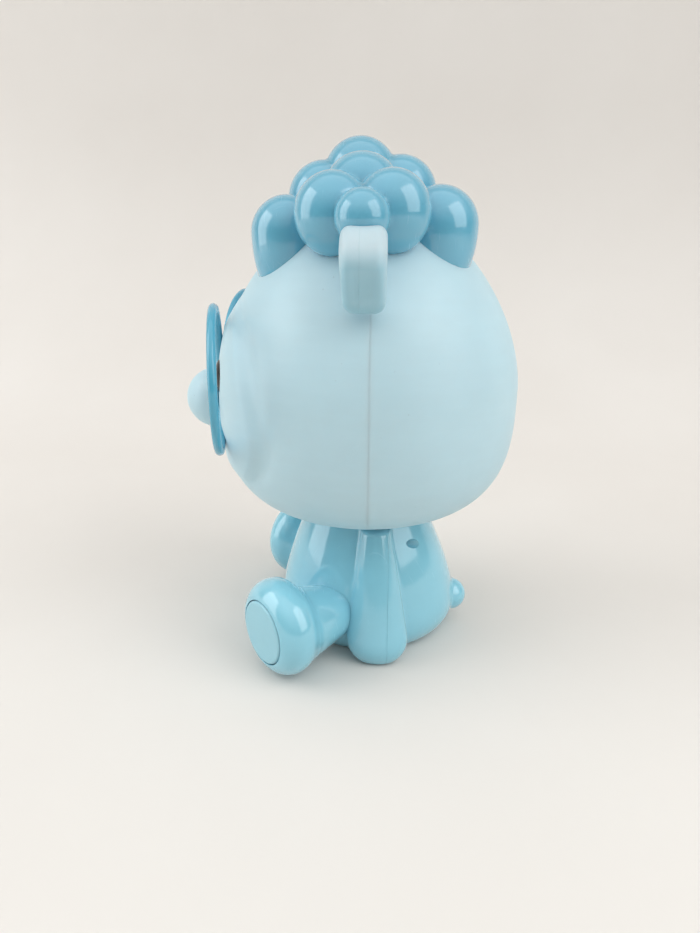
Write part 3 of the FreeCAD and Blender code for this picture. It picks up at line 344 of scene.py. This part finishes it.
def glasses_field(p):
    """Both rims and the bridge between them."""
    field = np.minimum(ring(p, 1), ring(p, -1))
    run = math.sqrt(LENS_RADIUS ** 2 - BRIDGE_RISE ** 2)
    end_x = LENS_SIDE - run * math.cos(LENS_WRAP)
    y = -LENS_FORWARD - run * math.sin(LENS_WRAP)
    level = LENS_LEVEL + BRIDGE_RISE
    over = np.maximum(np.abs(p[:, 0]) - end_x, 0)
    bar = np.sqrt(over ** 2 + (p[:, 1] - y) ** 2 + (p[:, 2] - level) ** 2)
    bar = bar - RIM_RADIUS * BRIDGE_THIN
    along = np.clip(p[:, 1], y, y + PEG_LENGTH)
    peg = np.sqrt(p[:, 0] ** 2 + (p[:, 1] - along) ** 2 + (p[:, 2] - level) ** 2) - PEG_RADIUS
    return smooth_min(smooth_min(field, bar, BRIDGE_BLEND), peg, PEG_BLEND)


# ---------------------------------------------------------------- meshes from fields
def slope_of(field, points):
    """The gradient of a field at points."""
    step = 0.04
    slope = np.empty_like(points)
    for axis in range(3):
        offset = np.zeros(3)
        offset[axis] = step
        slope[:, axis] = (field(points + offset) - field(points - offset)) / (2 * step)
    return slope


def settle(field, points, rounds, reach):
    """Move points onto the surface where the field is zero."""
    for _ in range(rounds):
        slope = slope_of(field, points)
        square = np.maximum((slope ** 2).sum(1), 0.04)
        step = slope * (field(points) / square)[:, None]
        length = np.sqrt((step ** 2).sum(1))
        points = points - step * np.minimum(1, reach / np.maximum(length, 1e-9))[:, None]
    return points


def even_out(points, quads):
    """Move each point towards the middle of its neighbours."""
    start, end = quads.ravel(), np.roll(quads, -1, axis=1).ravel()
    count = np.bincount(start, minlength=len(points))
    middle = np.stack([np.bincount(start, points[end, axis], len(points)) for axis in range(3)], 1)
    return points + 0.5 * (middle / np.maximum(count, 1)[:, None] - points)


def skin(name, field, low, high, cell):
    """A closed mesh of quads over the surface where the field is zero."""
    axes = [np.arange(a - 2 * cell, b + 3 * cell, cell) for a, b in zip(low, high)]
    shape = [len(axis) for axis in axes]
    yy, zz = np.meshgrid(axes[1], axes[2], indexing="ij")
    inside = np.empty(shape, bool)
    for index, x in enumerate(axes[0]):
        plane = np.stack([np.full(yy.size, x), yy.ravel(), zz.ravel()], 1)
        inside[index] = (field(plane) < 0).reshape(yy.shape)
    for axis in range(3):
        np.moveaxis(inside, axis, 0)[[0, -1]] = False
    corners = np.zeros([size - 1 for size in shape], np.int8)
    for i in range(2):
        for j in range(2):
            for k in range(2):
                corners += inside[i:shape[0] - 1 + i, j:shape[1] - 1 + j,
                                  k:shape[2] - 1 + k]
    mixed = (corners > 0) & (corners < 8)
    index = np.full(mixed.shape, -1)
    index[mixed] = np.arange(mixed.sum())
    where = np.argwhere(mixed)
    points = np.stack([axes[n][where[:, n]] for n in range(3)], 1) + cell / 2
    quads = []
    for axis in range(3):
        u, v = np.eye(3, dtype=int)[(axis + 1) % 3], np.eye(3, dtype=int)[(axis + 2) % 3]
        lower = np.take(inside, range(shape[axis] - 1), axis)
        upper = np.take(inside, range(1, shape[axis]), axis)
        for low_inside, turn in ((True, 1), (False, -1)):
            at = np.argwhere((lower == low_inside) & (upper != low_inside))
            ring_of = [tuple((at - shift).T) for shift in (u + v, v, 0 * u, u)]
            quads.append(np.stack([index[spot] for spot in ring_of][::turn], 1))
    quads = np.concatenate(quads)
    points = settle(field, points, 3, cell)
    for _ in range(3):
        points = settle(field, even_out(points, quads), 2, cell)
    mesh = bpy.data.meshes.new(name)
    mesh.from_pydata((points * MM).tolist(), [], quads.tolist())
    return link(name, mesh)


# ---------------------------------------------------------------- mesh work
scene = bpy.context.scene


def bake(obj):
    """Apply all of an object's modifiers."""
    graph = bpy.context.evaluated_depsgraph_get()
    mesh = bpy.data.meshes.new_from_object(obj.evaluated_get(graph))
    obj.modifiers.clear()
    obj.data = mesh
    return obj


def smooth(obj, angle=38):
    """Smooth shading with sharp edges over an angle."""
    obj.data.shade_smooth()
    obj.data.set_sharp_from_angle(angle=math.radians(angle))
    return obj


def copy_of(obj, name):
    """A second object with its own mesh."""
    return link(name, obj.data.copy())


def mirrored(obj):
    """Turn an object's mesh into its mirror image across the middle line."""
    obj.data.transform(Matrix.Scale(-1, 4, (1, 0, 0)))
    obj.data.flip_normals()


def link(name, data):
    """A new object in the scene."""
    obj = bpy.data.objects.new(name, data)
    scene.collection.objects.link(obj)
    return obj


def from_bmesh(name, mesh):
    """Mesh data from a bmesh, which is freed."""
    data = bpy.data.meshes.new(name)
    mesh.to_mesh(data)
    mesh.free()
    return data


def bisect(mesh, level, normal, clear=False):
    """Cut a bmesh along an upright plane at a y, keeping both sides or clearing the outer one."""
    geometry = mesh.verts[:] + mesh.edges[:] + mesh.faces[:]
    bmesh.ops.bisect_plane(mesh, geom=geometry, dist=1e-6, plane_co=Vector((0, level * MM, 0)),
                           plane_no=Vector(normal), clear_outer=clear)


def half_of(obj, name, seam, side, gap, lip):
    """The part of a closed mesh on one side of an upright seam, with its edge rounded inwards.
    The two rings of points behind the edge hold the rounding to the lip's width."""
    half = copy_of(obj, name)
    mesh = bmesh.new()
    mesh.from_mesh(half.data)
    for back, clear in ((gap + 2 * lip, False), (gap + lip, False), (gap, True)):
        bisect(mesh, seam + side * back, (0, -side, 0), clear)
    mesh.normal_update()
    edge = [v for v in mesh.verts if abs(v.co.y / MM - seam) < gap + 0.01 and v.is_boundary]
    normals = {v: v.normal.copy() for v in edge}
    for v in edge:
        v.co -= normals[v] * lip * 0.8 * MM
    mesh.to_mesh(half.data)
    mesh.free()
    return half


def score(obj, seam, wide, deep):
    """Press a fine parting line into a mesh along an upright plane."""
    mesh = bmesh.new()
    mesh.from_mesh(obj.data)
    for offset in (-wide, wide, 0.0):
        bisect(mesh, seam + offset, (0, 1, 0))
    mesh.normal_update()
    line = [v for v in mesh.verts if abs(v.co.y / MM - seam) < 0.01]
    for v, normal in [(v, v.normal.copy()) for v in line]:
        v.co -= normal * deep * MM
    mesh.to_mesh(obj.data)
    mesh.free()


def hollow(obj, wall):
    """Give an open skin a wall on its inner side."""
    modifier = obj.modifiers.new("wall", "SOLIDIFY")
    modifier.thickness = wall * MM
    modifier.offset = -1
    return bake(obj)


def cut(obj, cutter, how="DIFFERENCE"):
    """Take one closed mesh away from another, or join them."""
    modifier = obj.modifiers.new("cut", "BOOLEAN")
    modifier.operation = how
    modifier.solver = "EXACT"
    modifier.object = cutter
    bake(obj)
    return obj


def discard(*objs):
    """Remove helper objects."""
    for obj in objs:
        bpy.data.objects.remove(obj)


def basis(along):
    """A rotation that takes +Z to a direction."""
    return Vector(along).to_track_quat("Z", "Y").to_matrix().to_4x4()


def lathe(name, profile, middle, along, segments=96):
    """A turned form: radius and height pairs round an axis, closed where the radius is zero."""
    mesh = bmesh.new()
    rings = []
    for radius, height in profile:
        if radius < 1e-6:
            rings.append([mesh.verts.new((0, 0, height))])
            continue
        angles = [2 * math.pi * n / segments for n in range(segments)]
        rings.append([mesh.verts.new((radius * math.cos(a), radius * math.sin(a), height))
                      for a in angles])
    for first, second in zip(rings, rings[1:]):
        for n in range(segments):
            corners = [first[n % len(first)], first[(n + 1) % len(first)],
                       second[(n + 1) % len(second)], second[n % len(second)]]
            mesh.faces.new(list(dict.fromkeys(corners)))
    bmesh.ops.recalc_face_normals(mesh, faces=mesh.faces)
    data = from_bmesh(name, mesh)
    data.transform(Matrix.Translation(Vector(middle) * MM) @ basis(along) @ Matrix.Scale(MM, 4))
    return smooth(link(name, data))


def drill(radius, start, end):
    """A round cutter between two points."""
    start, end = Vector(start), Vector(end)
    length = (end - start).length
    profile = [(0, 0), (radius, 0), (radius, length), (0, length)]
    return lathe("drill", profile, start, end - start, 64)


def prism(name, outline, low, high):
    """An upright block with a given outline."""
    mesh = bmesh.new()
    bottom = [mesh.verts.new((x, y, low)) for x, y in outline]
    top = [mesh.verts.new((x, y, high)) for x, y in outline]
    mesh.faces.new(bottom[::-1])
    mesh.faces.new(top)
    for n in range(len(outline)):
        following = (n + 1) % len(outline)
        mesh.faces.new((bottom[n], bottom[following], top[following], top[n]))
    bmesh.ops.remove_doubles(mesh, verts=mesh.verts, dist=1e-4)
    data = from_bmesh(name, mesh)
    data.transform(Matrix.Scale(MM, 4))
    return link(name, data)


def arc(middle_radius, middle_height, radius, start, end, steps):
    """Points along an arc of a turned profile, angles in degrees from the outward direction."""
    points = []
    for step in range(steps + 1):
        angle = math.radians(start + (end - start) * step / steps)
        points.append((max(0.0, middle_radius + radius * math.cos(angle)),
                       middle_height + radius * math.sin(angle)))
    return points


# ---------------------------------------------------------------- materials
def linear(colour):
    """An sRGB colour in 0-255 as linear values."""
    values = []
    for part in colour:
        part = part / 255
        values.append(part / 12.92 if part <= 0.04045 else ((part + 0.055) / 1.055) ** 2.4)
    return (*values, 1.0)


class Nodes:
    """Builds a material's nodes with short calls."""

    def __init__(self, name):
        self.material = bpy.data.materials.new(name)
        self.material.use_nodes = True
        self.tree = self.material.node_tree
        self.shader = self.tree.nodes["Principled BSDF"]
        self.place = self.add("ShaderNodeTexCoord").outputs["Object"]

    def add(self, kind, inputs=(), **settings):
        """A new node with its settings and inputs."""
        node = self.tree.nodes.new(kind)
        for key, value in settings.items():
            setattr(node, key, value)
        for key, value in dict(inputs).items():
            self.feed(node.inputs[key], value)
        return node

    def feed(self, socket, value):
        """Link another socket to a socket, or set its own value."""
        if isinstance(value, bpy.types.NodeSocket):
            self.tree.links.new(value, socket)
        else:
            socket.default_value = value

    def stretched(self, scale):
        """The object's coordinates stretched per axis."""
        return self.add("ShaderNodeMapping", {"Vector": self.place, "Scale": scale}).outputs[0]

    def noise(self, scale, detail=3.0, place=None):
        """Noise at a scale a metre."""
        inputs = {"Vector": place or self.place, "Scale": scale, "Detail": detail}
        return self.add("ShaderNodeTexNoise", inputs).outputs["Fac"]

    def ramp(self, value, low, high, at_low=0.0, at_high=1.0):
        """A value mapped from one range to another and held at its ends."""
        inputs = {"Value": value, "From Min": low, "From Max": high,
                  "To Min": at_low, "To Max": at_high}
        return self.add("ShaderNodeMapRange", inputs, clamp=True).outputs[0]

    def maths(self, operation, first, second):
        """One sum on two values."""
        return self.add("ShaderNodeMath", {0: first, 1: second}, operation=operation).outputs[0]

    def mix(self, share, first, second):
        """A colour between two colours."""
        node = self.add("ShaderNodeMix", data_type="RGBA")
        self.feed(node.inputs["Factor"], share)
        self.feed(node.inputs[6], first)
        self.feed(node.inputs[7], second)
        return node.outputs[2]

    def bump(self, height, strength, distance, before=None):
        """A normal bent by a height, on top of an earlier one."""
        inputs = {"Height": height, "Strength": strength, "Distance": distance}
        if before is not None:
            inputs["Normal"] = before
        return self.add("ShaderNodeBump", inputs).outputs[0]

    def finish(self, **inputs):
        """Feed the shader's sockets and hand over the material."""
        for key, value in inputs.items():
            self.feed(self.shader.inputs[key.replace("_", " ")], value)
        return self.material


def shade(colour, factor):
    """A colour made lighter or darker."""
    return (*[min(1.0, part * factor) for part in linear(colour)[:3]], 1.0)


def painted_ear_shade(n):
    """The share of painted shade where an ear hangs, fading out towards its paler rims."""
    split = n.add("ShaderNodeSeparateXYZ", {0: n.place}).outputs
    beside = n.maths("ABSOLUTE", n.maths("SUBTRACT", split["Y"], EAR_MIDDLE * MM), 0.0)
    hang = n.ramp(split["Z"], *EAR_SHADE_LEVELS, EAR_SHADE_SHARE, 0.0)
    return n.maths("MULTIPLY", hang, n.ramp(beside, *EAR_SHADE_SIDES, 1.0, 0.0))


def moulded(name, colour, rough, spread, grain, grain_height, scratch, crease=0.12, deep=None,
            **inputs):
    """Moulded plastic: mottled colour, faint flow lines, surface grain, fine scratches and specks
    of dust, with painted shade in its creases by the crease share and a painted highlight along its
    convex edges. Where an ear hangs, a deep colour paints its shade."""
    n = Nodes(name)
    patch = n.ramp(n.noise(28.0, 4.0), 0.35, 0.65)
    base = n.mix(patch, shade(colour, 1 - spread), shade(colour, 1 + spread))
    # An ear's hanging face gets the deep colour: painted shade.
    if deep:
        base = n.mix(painted_ear_shade(n), base, linear(deep))
    flow = n.ramp(n.noise(1.0, 2.0, n.stretched((35.0, 35.0, 260.0))), 0.42, 0.7)
    base = n.mix(n.maths("MULTIPLY", flow, 0.05), base, shade(colour, 1.25))
    speck = n.ramp(n.noise(380.0, 1.0), 0.79, 0.82)
    base = n.mix(n.maths("MULTIPLY", speck, 0.2), base, shade(colour, 0.45))
    point = n.add("ShaderNodeNewGeometry").outputs["Pointiness"]
    # Concave spots get a painted shade, as strong as the crease share.
    painted_hollow_shade = n.ramp(point, 0.44, 0.495, 1.0, 0.0)
    base = n.mix(n.maths("MULTIPLY", painted_hollow_shade, crease), base, shade(colour, 0.5))
    # Convex edges are lightened a little: a painted highlight.
    edge = n.ramp(point, 0.53, 0.6)
    base = n.mix(n.maths("MULTIPLY", edge, 0.12), base, shade(colour, 1.35))
    smudge = n.ramp(n.noise(42.0, 5.0), 0.4, 0.7, -0.5, 0.5)
    lines = n.ramp(n.noise(1.0, 2.0, n.stretched((2600.0, 60.0, 60.0))), 0.66, 0.72)
    hairs = n.ramp(n.noise(1.0, 2.0, n.stretched((70.0, 2300.0, 110.0))), 0.67, 0.72)
    lines = n.maths("ADD", lines, hairs)
    roughness = n.maths("ADD", rough, n.maths("MULTIPLY", smudge, rough * 0.35))
    roughness = n.maths("ADD", roughness, n.maths("MULTIPLY", lines, scratch))
    fine = n.bump(n.noise(grain, 2.0), 0.35, grain_height)
    wavy = n.bump(n.noise(60.0, 2.0), 0.25, 0.0006, fine)
    scored = n.bump(n.maths("SUBTRACT", 1.0, lines), 0.12, 0.00003, wavy)
    return n.finish(Base_Color=base, Roughness=roughness, Normal=scored, **inputs)


def felted(name, colour):
    """Pressed felt."""
    n = Nodes(name)
    fibre = n.noise(1.0, 6.0, n.stretched((900.0, 1500.0, 900.0)))
    base = n.mix(fibre, shade(colour, 0.7), shade(colour, 1.2))
    return n.finish(Base_Color=base, Roughness=0.95, Normal=n.bump(fibre, 0.6, 0.0002))


def metal(name, colour, rough, brushed):
    """Turned or drawn metal with fine tool lines and faint stains."""
    n = Nodes(name)
    stain = n.ramp(n.noise(220.0, 4.0), 0.4, 0.7)
    base = n.mix(n.maths("MULTIPLY", stain, 0.4), linear(colour), shade(colour, 0.65))
    line = n.noise(1.0, 3.0, n.stretched(brushed))
    roughness = n.ramp(line, 0.3, 0.7, rough * 0.8, rough * 1.5)
    tooled = n.bump(line, 0.2, 0.00004)
    return n.finish(Base_Color=base, Roughness=roughness, Metallic=1.0, Normal=tooled)


# The painted shade on an ear's hanging face, in its deep colour: from full to none over these
# levels and distances from its middle, m.
EAR_SHADE_LEVELS, EAR_SHADE_SIDES, EAR_SHADE_SHARE = (0.1955, 0.2035), (0.0075, 0.0115), 0.75
FROSTED = {"Subsurface_Weight": 0.25, "Subsurface_Radius": (0.6, 0.9, 1.0),
           "Subsurface_Scale": 0.004}
# Each plastic: colour, roughness, spread of the colour, grains a metre, their height in metres,
# and how much a scratch roughens it; then what only some of them have.
PLASTICS = {
    "gloss_body": ((135, 200, 219), 0.18, 0.03, 900.0, 0.000008, 0.12,
                   {"IOR": 1.52, "Coat_Weight": 0.8, "Coat_Roughness": 0.05}),
    "gloss_hair": ((102, 174, 200), 0.2, 0.03, 900.0, 0.000008, 0.1,
                   {"crease": 0.3, "IOR": 1.53, "Coat_Weight": 0.8, "Coat_Roughness": 0.04}),
    "gloss_glasses": ((80, 166, 194), 0.16, 0.03, 900.0, 0.000008, 0.12,
                      {"IOR": 1.52, "Coat_Weight": 0.3, "Coat_Roughness": 0.06}),
    "base_blue": ((120, 188, 210), 0.42, 0.04, 1400.0, 0.00006, 0.12, {}),
    "frosted_diffuser": ((184, 215, 226), 0.46, 0.022, 1500.0, 0.00005, 0.08,
                         {"crease": 0.0, **FROSTED}),
    # The ear's deep colour is painted shade where it hangs.
    "frosted_ear": ((190, 211, 219), 0.4, 0.025, 1500.0, 0.00004, 0.08,
                    {"deep": (138, 190, 206), **FROSTED}),
    "satin_pad": ((150, 202, 217), 0.36, 0.03, 1800.0, 0.00006, 0.1, {}),
    "black_eye": ((14, 15, 18), 0.26, 0.2, 900.0, 0.000008, 0.1, {"Specular_IOR_Level": 0.2}),
    "white_inner": ((226, 228, 228), 0.4, 0.02, 1400.0, 0.00004, 0.1, {}),
    "white_board": ((232, 234, 232), 0.35, 0.02, 1800.0, 0.00002, 0.08, {}),
    "light_chip": ((232, 214, 120), 0.3, 0.05, 1800.0, 0.00003, 0.05, {}),
    "green_board": ((32, 92, 58), 0.34, 0.08, 2200.0, 0.00004, 0.08, {}),
    "dark_component": ((34, 34, 36), 0.5, 0.08, 2200.0, 0.00004, 0.1, {}),
    "wire_red": ((176, 34, 30), 0.4, 0.06, 1600.0, 0.00003, 0.08, {}),
    "wire_black": ((30, 30, 32), 0.42, 0.06, 1600.0, 0.00003, 0.08, {}),
}
# Each metal: colour, roughness, and how fine its tool lines are along x, y and z.
METALS = {
    "cell_can": ((150, 156, 164), 0.3, (60.0, 2600.0, 60.0)),
    "contact_metal": ((196, 190, 176), 0.26, (60.0, 2600.0, 60.0)),
    "screw_steel": ((172, 174, 176), 0.3, (2200.0, 2200.0, 90.0)),
}

# One material for each slot of the record.
MATERIALS = {name: moulded(name, *values, **more) for name, (*values, more) in PLASTICS.items()}
MATERIALS.update({name: metal(name, *values) for name, values in METALS.items()})
MATERIALS["felt"] = felted("felt", (150, 152, 156))

def place(obj, body, slot, replaced):
    """Put a finished piece on its body, in its slot's material, in place of its CAD node."""
    obj.data.materials.clear()
    obj.data.materials.append(MATERIALS[slot])
    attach(obj, body)
    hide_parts(replaced)


# ---------------------------------------------------------------- torso
def plate_outline():
    """The opening for the base plate: a rectangle with round corners."""
    plate_high = cad("base_plate")[1]
    half_x, half_y = plate_high[0] + PLATE_GAP, plate_high[1] + PLATE_GAP
    corner, steps = PLATE_CORNER + PLATE_GAP, 16
    outline = []
    for sign_x, sign_y, start in ((1, 1, 0), (-1, 1, 90), (-1, -1, 180), (1, -1, 270)):
        for step in range(steps + 1):
            angle = math.radians(start + 90 * step / steps)
            outline.append((sign_x * (half_x - corner) + corner * math.cos(angle),
                            sign_y * (half_y - corner) + corner * math.sin(angle)))
    return outline


def add_screw_seat(shell, x, level):
    """Give the rear shell a boss with the recess of a back screw in it."""
    boss = skin("boss", lambda p: boss_field(p, x, level),
                (x - BOSS_HALF, TORSO_SEAM + BOSS_FROM, level - BOSS_HALF),
                (x + BOSS_HALF, BOSS_TO, level + BOSS_HALF), BOSS_CELL)
    cut(shell, boss, "UNION")
    recess = drill(BACK_RECESS, (x, TORSO_SEAM + SCREW_SEAT, level), (x, RECESS_END, level))
    cut(shell, recess)
    discard(recess, boss)


def make_torso():
    """Two shells with the neck's bore, the base plate's opening and two screw recesses."""
    whole = skin("torso", torso_field, TORSO_LOW, TORSO_HIGH, TORSO_CELL)
    opening = prism("opening", plate_outline(), PLATE_LOW, PLATE_HIGH)
    neck = drill(NECK_BORE, (0, 0, TORSO_TOP - NECK_BORE_DOWN), (0, 0, TORSO_TOP + NECK_BORE_UP))
    for name, side in (("front", -1), ("rear", 1)):
        shell = half_of(whole, "look_torso_" + name, TORSO_SEAM, side, BODY_GAP, BODY_LIP)
        hollow(shell, BODY_WALL)
        cut(cut(shell, opening), neck)
        if name == "rear":
            for sign in (1, -1):
                add_screw_seat(shell, sign * BACK_SCREW[0], BACK_SCREW[1])
        place(smooth(shell), "body", "gloss_body", "torso_%s_shell" % name)
    discard(whole, opening, neck)


# ---------------------------------------------------------------- legs
def pad_profile():
    """A sole pad's turned outline, from the middle of its back to the crown of its face."""
    top = PAD_DEPTH + PAD_PROUD
    profile = [(0, 0), (PAD_RADIUS - PAD_FOOT, 0), (PAD_RADIUS, PAD_FOOT)]
    profile += arc(PAD_RADIUS - PAD_RIM, top - PAD_RIM, PAD_RIM, 0, 80, 8)
    for share in (0.85, 0.6, 0.35, 0.15):
        profile.append((PAD_RADIUS * share, top + PAD_CROWN * (1 - share ** 2)))
    return profile + [(0, top + PAD_CROWN)]


def make_legs():
    """Each leg with its sole pad in a recess."""
    low, high = cad("left_leg_shell")
    left = skin("leg", lambda p: leg_field(p, 1), low, high, LIMB_CELL)
    for name, side in SIDES:
        shell = copy_of(left, "look_%s_leg" % name)
        if side < 0:
            mirrored(shell)
        middle, out = leg_axis(side)
        floor = FOOT_FRONT - PAD_DEPTH
        recess = drill(PAD_RECESS, middle + out * floor, middle + out * (FOOT_FRONT + PAD_CUT))
        cut(shell, recess)
        discard(recess)
        place(smooth(shell), "body", "gloss_body", "%s_leg_shell" % name)
        pad = lathe("look_%s_sole_pad" % name, pad_profile(), middle + out * floor, out)
        place(pad, "body", "satin_pad", "%s_sole_pad" % name)
    discard(left)


# ---------------------------------------------------------------- head
def head_reach(level):
    """The head's radius at a level."""
    rise = level - HEAD_LEVEL
    reach, power = (HEAD_RISE, HEAD_RISE_POWER) if rise > 0 else (HEAD_DROP, HEAD_DROP_POWER)
    return HEAD_RADIUS * (1 - (abs(rise) / reach) ** power) ** (1 / power)


def eye_frame(side):
    """The middle of an eye on the face and the way it looks."""
    x = side * EYE_SIDE
    spot = np.array([x, -math.sqrt(head_reach(EYE_LEVEL) ** 2 - x ** 2), EYE_LEVEL])
    out = np.array([spot[0], spot[1], 0.0])
    return spot, out / np.linalg.norm(out)


def make_head():
    """Two shells with the neck's opening and the beds of the eyes."""
    high = (head_front_high[0], head_rear_high[1], HEAD_TOP)
    whole = skin("head", head_field, head_front_low, high, HEAD_CELL)
    neck = drill(NECK_OPEN, (0, 0, NECK_OPEN_LOW), (0, 0, NECK_OPEN_HIGH))
    for name, side in (("front", -1), ("rear", 1)):
        shell = half_of(whole, "look_head_" + name, HEAD_SEAM, side, HEAD_GAP, HEAD_LIP)
        hollow(shell, HEAD_WALL)
        cut(shell, neck)
        if name == "front":
            for _, hand in SIDES:
                spot, out = eye_frame(hand)
                hole = drill(EYE_RADIUS + EYE_GAP, spot - out * EYE_CUT[0],
                             spot + out * EYE_CUT[1])
                cut(shell, hole)
                discard(hole)
        place(smooth(shell), "head", "frosted_diffuser", "head_%s_shell" % name)
    discard(whole, neck)


def make_nose():
    """A ball with a flat back and a rounded edge round it."""
    radius = (nose_high[2] - nose_low[2]) / 2
    middle = (0.0, nose_low[1] + radius, (nose_high[2] + nose_low[2]) / 2)
    turn = NOSE_BACK + NOSE_EDGE
    rim = math.degrees(math.asin(turn / radius))
    profile = [(0, NOSE_BACK), (radius - 2.0, NOSE_BACK)]
    profile += arc(radius - NOSE_EDGE - 0.1, turn, NOSE_EDGE, -90, -8, 6)
    profile += arc(0, 0, radius, rim + 6, 90, 40)
    nose = lathe("look_nose", profile, middle, (0, -1, 0), 128)
    place(nose, "head", "frosted_diffuser", "nose")


def make_eyes():
    """Shallow black domes, each on a short drum that sits in the face."""
    dome = (EYE_RADIUS ** 2 + EYE_PROUD ** 2) / (2 * EYE_PROUD)
    spread = math.degrees(math.asin((EYE_RADIUS - EYE_STEP) / dome))
    profile = [(0, -EYE_DEPTH), (EYE_RADIUS, -EYE_DEPTH), (EYE_RADIUS, -EYE_STEP),
               (EYE_RADIUS - 0.08, -0.08)]
    profile += arc(0, EYE_PROUD - dome, dome, 90 - spread, 90, 24)
    for name, side in SIDES:
        spot, out = eye_frame(side)
        eye = lathe("look_%s_eye" % name, profile, spot, out)
        place(eye, "head", "black_eye", "%s_eye" % name)


def make_hair():
    """The cap of curls."""
    low, high = cad("hair_cap")
    hair = skin("look_hair", hair_field, low, high, HAIR_CELL)
    place(smooth(hair), "head", "gloss_hair", "hair_cap")


def make_ears():
    """Both ears, each with a fine parting line."""
    low = (ear_low[0] - EAR_TUCK, ear_low[1], ear_low[2] - EAR_LONGER)
    whole = skin("ear", lambda p: ear_field(p, 1), low, ear_high, LIMB_CELL)
    for name, side in SIDES:
        ear = copy_of(whole, "look_%s_ear" % name)
        if side < 0:
            mirrored(ear)
        score(ear, EAR_MIDDLE - EAR_LINE, EAR_LINE_WIDE, EAR_LINE_DEEP)
        place(smooth(ear), "head", "frosted_ear", "%s_ear" % name)
    discard(whole)


def make_glasses():
    """The round glasses, which have no lenses."""
    low, high = cad("glasses_frame")
    glasses = skin("look_glasses", glasses_field, low, high, GLASSES_CELL)
    place(smooth(glasses), "head", "gloss_glasses", "glasses_frame")


make_torso()
make_legs()
make_head()
make_nose()
make_eyes()
make_hair()
make_ears()
make_glasses()

for item in frame["record"]["subparts"]:
    for slot in nodes[item["node"]].material_slots:
        slot.material = MATERIALS[item["material_slot"]]


# ---------------------------------------------------------------- studio, in metres
WALL_X, WALL_BEND, WALL_HIGH = -0.62, 0.35, 1.9
FLOOR_FRONT, FLOOR_SIDE, BEND_STEPS = 1.6, 2.4, 16
FLOOR_TONES = ((217, 213, 208), (224, 221, 217))
# The sky's strength rises from the first value to the second between two heights of direction.
SKY = {"From Min": 0.08, "From Max": 1.0, "To Min": 0.04, "To Max": 1.35}
SKY_COLOUR, SKY_SEEN = (1.0, 0.99, 0.97, 1.0), 0.8
LIGHT_TARGET = (0, 0, 0.14)
CAMERA_PLACE = (0.3509, 0.0047, 0.2109)
CAMERA_LOOK, CAMERA_ROLL = (-0.9449, -0.0363, -0.3252), math.radians(0.24)
CAMERA_LENS, CAMERA_SENSOR = 27.0, 36.0


def make_stage():
    """A pale floor that curves up into a wall behind the puppy."""
    run = [(FLOOR_FRONT, 0.0), (WALL_X + WALL_BEND, 0.0)]
    for step in range(1, BEND_STEPS + 1):
        angle = math.radians(90 * step / BEND_STEPS)
        run.append((WALL_X + WALL_BEND - WALL_BEND * math.sin(angle),
                    WALL_BEND - WALL_BEND * math.cos(angle)))
    run.append((WALL_X, WALL_HIGH))
    mesh = bmesh.new()
    rows = [[mesh.verts.new((x, y, z)) for y in (-FLOOR_SIDE, FLOOR_SIDE)] for x, z in run]
    for first, second in zip(rows, rows[1:]):
        mesh.faces.new((first[0], first[1], second[1], second[0]))
    data = from_bmesh("backdrop", mesh)
    data.shade_smooth()
    n = Nodes("backdrop")
    tone = n.mix(n.noise(6.0, 4.0), linear(FLOOR_TONES[0]), linear(FLOOR_TONES[1]))
    grain = n.bump(n.noise(300.0), 0.1, 0.0005)
    data.materials.append(n.finish(Base_Color=tone, Roughness=0.85, Normal=grain))
    link("backdrop", data)


def soft_light(name, azimuth, elevation, distance, wide, tall, power):
    """A rectangular light that faces the puppy from an azimuth counted from the camera's side."""
    data = bpy.data.lights.new(name, "AREA")
    data.shape = "RECTANGLE"
    data.size, data.size_y = wide, tall
    data.energy = power
    turn, rise = math.radians(azimuth), math.radians(elevation)
    out = Vector((math.cos(turn) * math.cos(rise), math.sin(turn) * math.cos(rise), math.sin(rise)))
    light = link(name, data)
    light.location = Vector(LIGHT_TARGET) + out * distance
    light.rotation_euler = out.to_track_quat("Z", "Y").to_euler()


def make_sky():
    """A sky that is bright overhead. What the camera sees past the stage has one even strength."""
    world = bpy.data.worlds.new("studio")
    world.use_nodes = True
    tree = world.node_tree
    direction = tree.nodes.new("ShaderNodeTexCoord")
    split = tree.nodes.new("ShaderNodeSeparateXYZ")
    tree.links.new(direction.outputs["Generated"], split.inputs[0])
    sky = tree.nodes.new("ShaderNodeMapRange")
    sky.interpolation_type = "SMOOTHSTEP"
    for name, value in SKY.items():
        sky.inputs[name].default_value = value
    tree.links.new(split.outputs["Z"], sky.inputs["Value"])
    background = tree.nodes["Background"]
    background.inputs["Color"].default_value = SKY_COLOUR
    path = tree.nodes.new("ShaderNodeLightPath")
    seen = tree.nodes.new("ShaderNodeMix")
    seen.inputs["B"].default_value = SKY_SEEN
    tree.links.new(path.outputs["Is Camera Ray"], seen.inputs["Factor"])
    tree.links.new(sky.outputs[0], seen.inputs["A"])
    tree.links.new(seen.outputs[0], background.inputs["Strength"])
    scene.world = world


def make_camera():
    """The camera at the photograph's angle."""
    data = bpy.data.cameras.new("camera")
    data.lens, data.sensor_width = CAMERA_LENS, CAMERA_SENSOR
    data.clip_start = 0.01
    camera = link("camera", data)
    turn = Vector(CAMERA_LOOK).to_track_quat("-Z", "Y").to_matrix().to_4x4()
    roll = Matrix.Rotation(CAMERA_ROLL, 4, "Z")
    camera.matrix_world = Matrix.Translation(CAMERA_PLACE) @ turn @ roll
    scene.camera = camera


make_stage()
make_sky()
soft_light("window_right", 60, 30, 1.3, 0.95, 1.35, 8.6)
soft_light("window_left", -80, 22, 1.3, 0.85, 1.3, 8.6)
make_camera()
scene.view_settings.view_transform = "Standard"
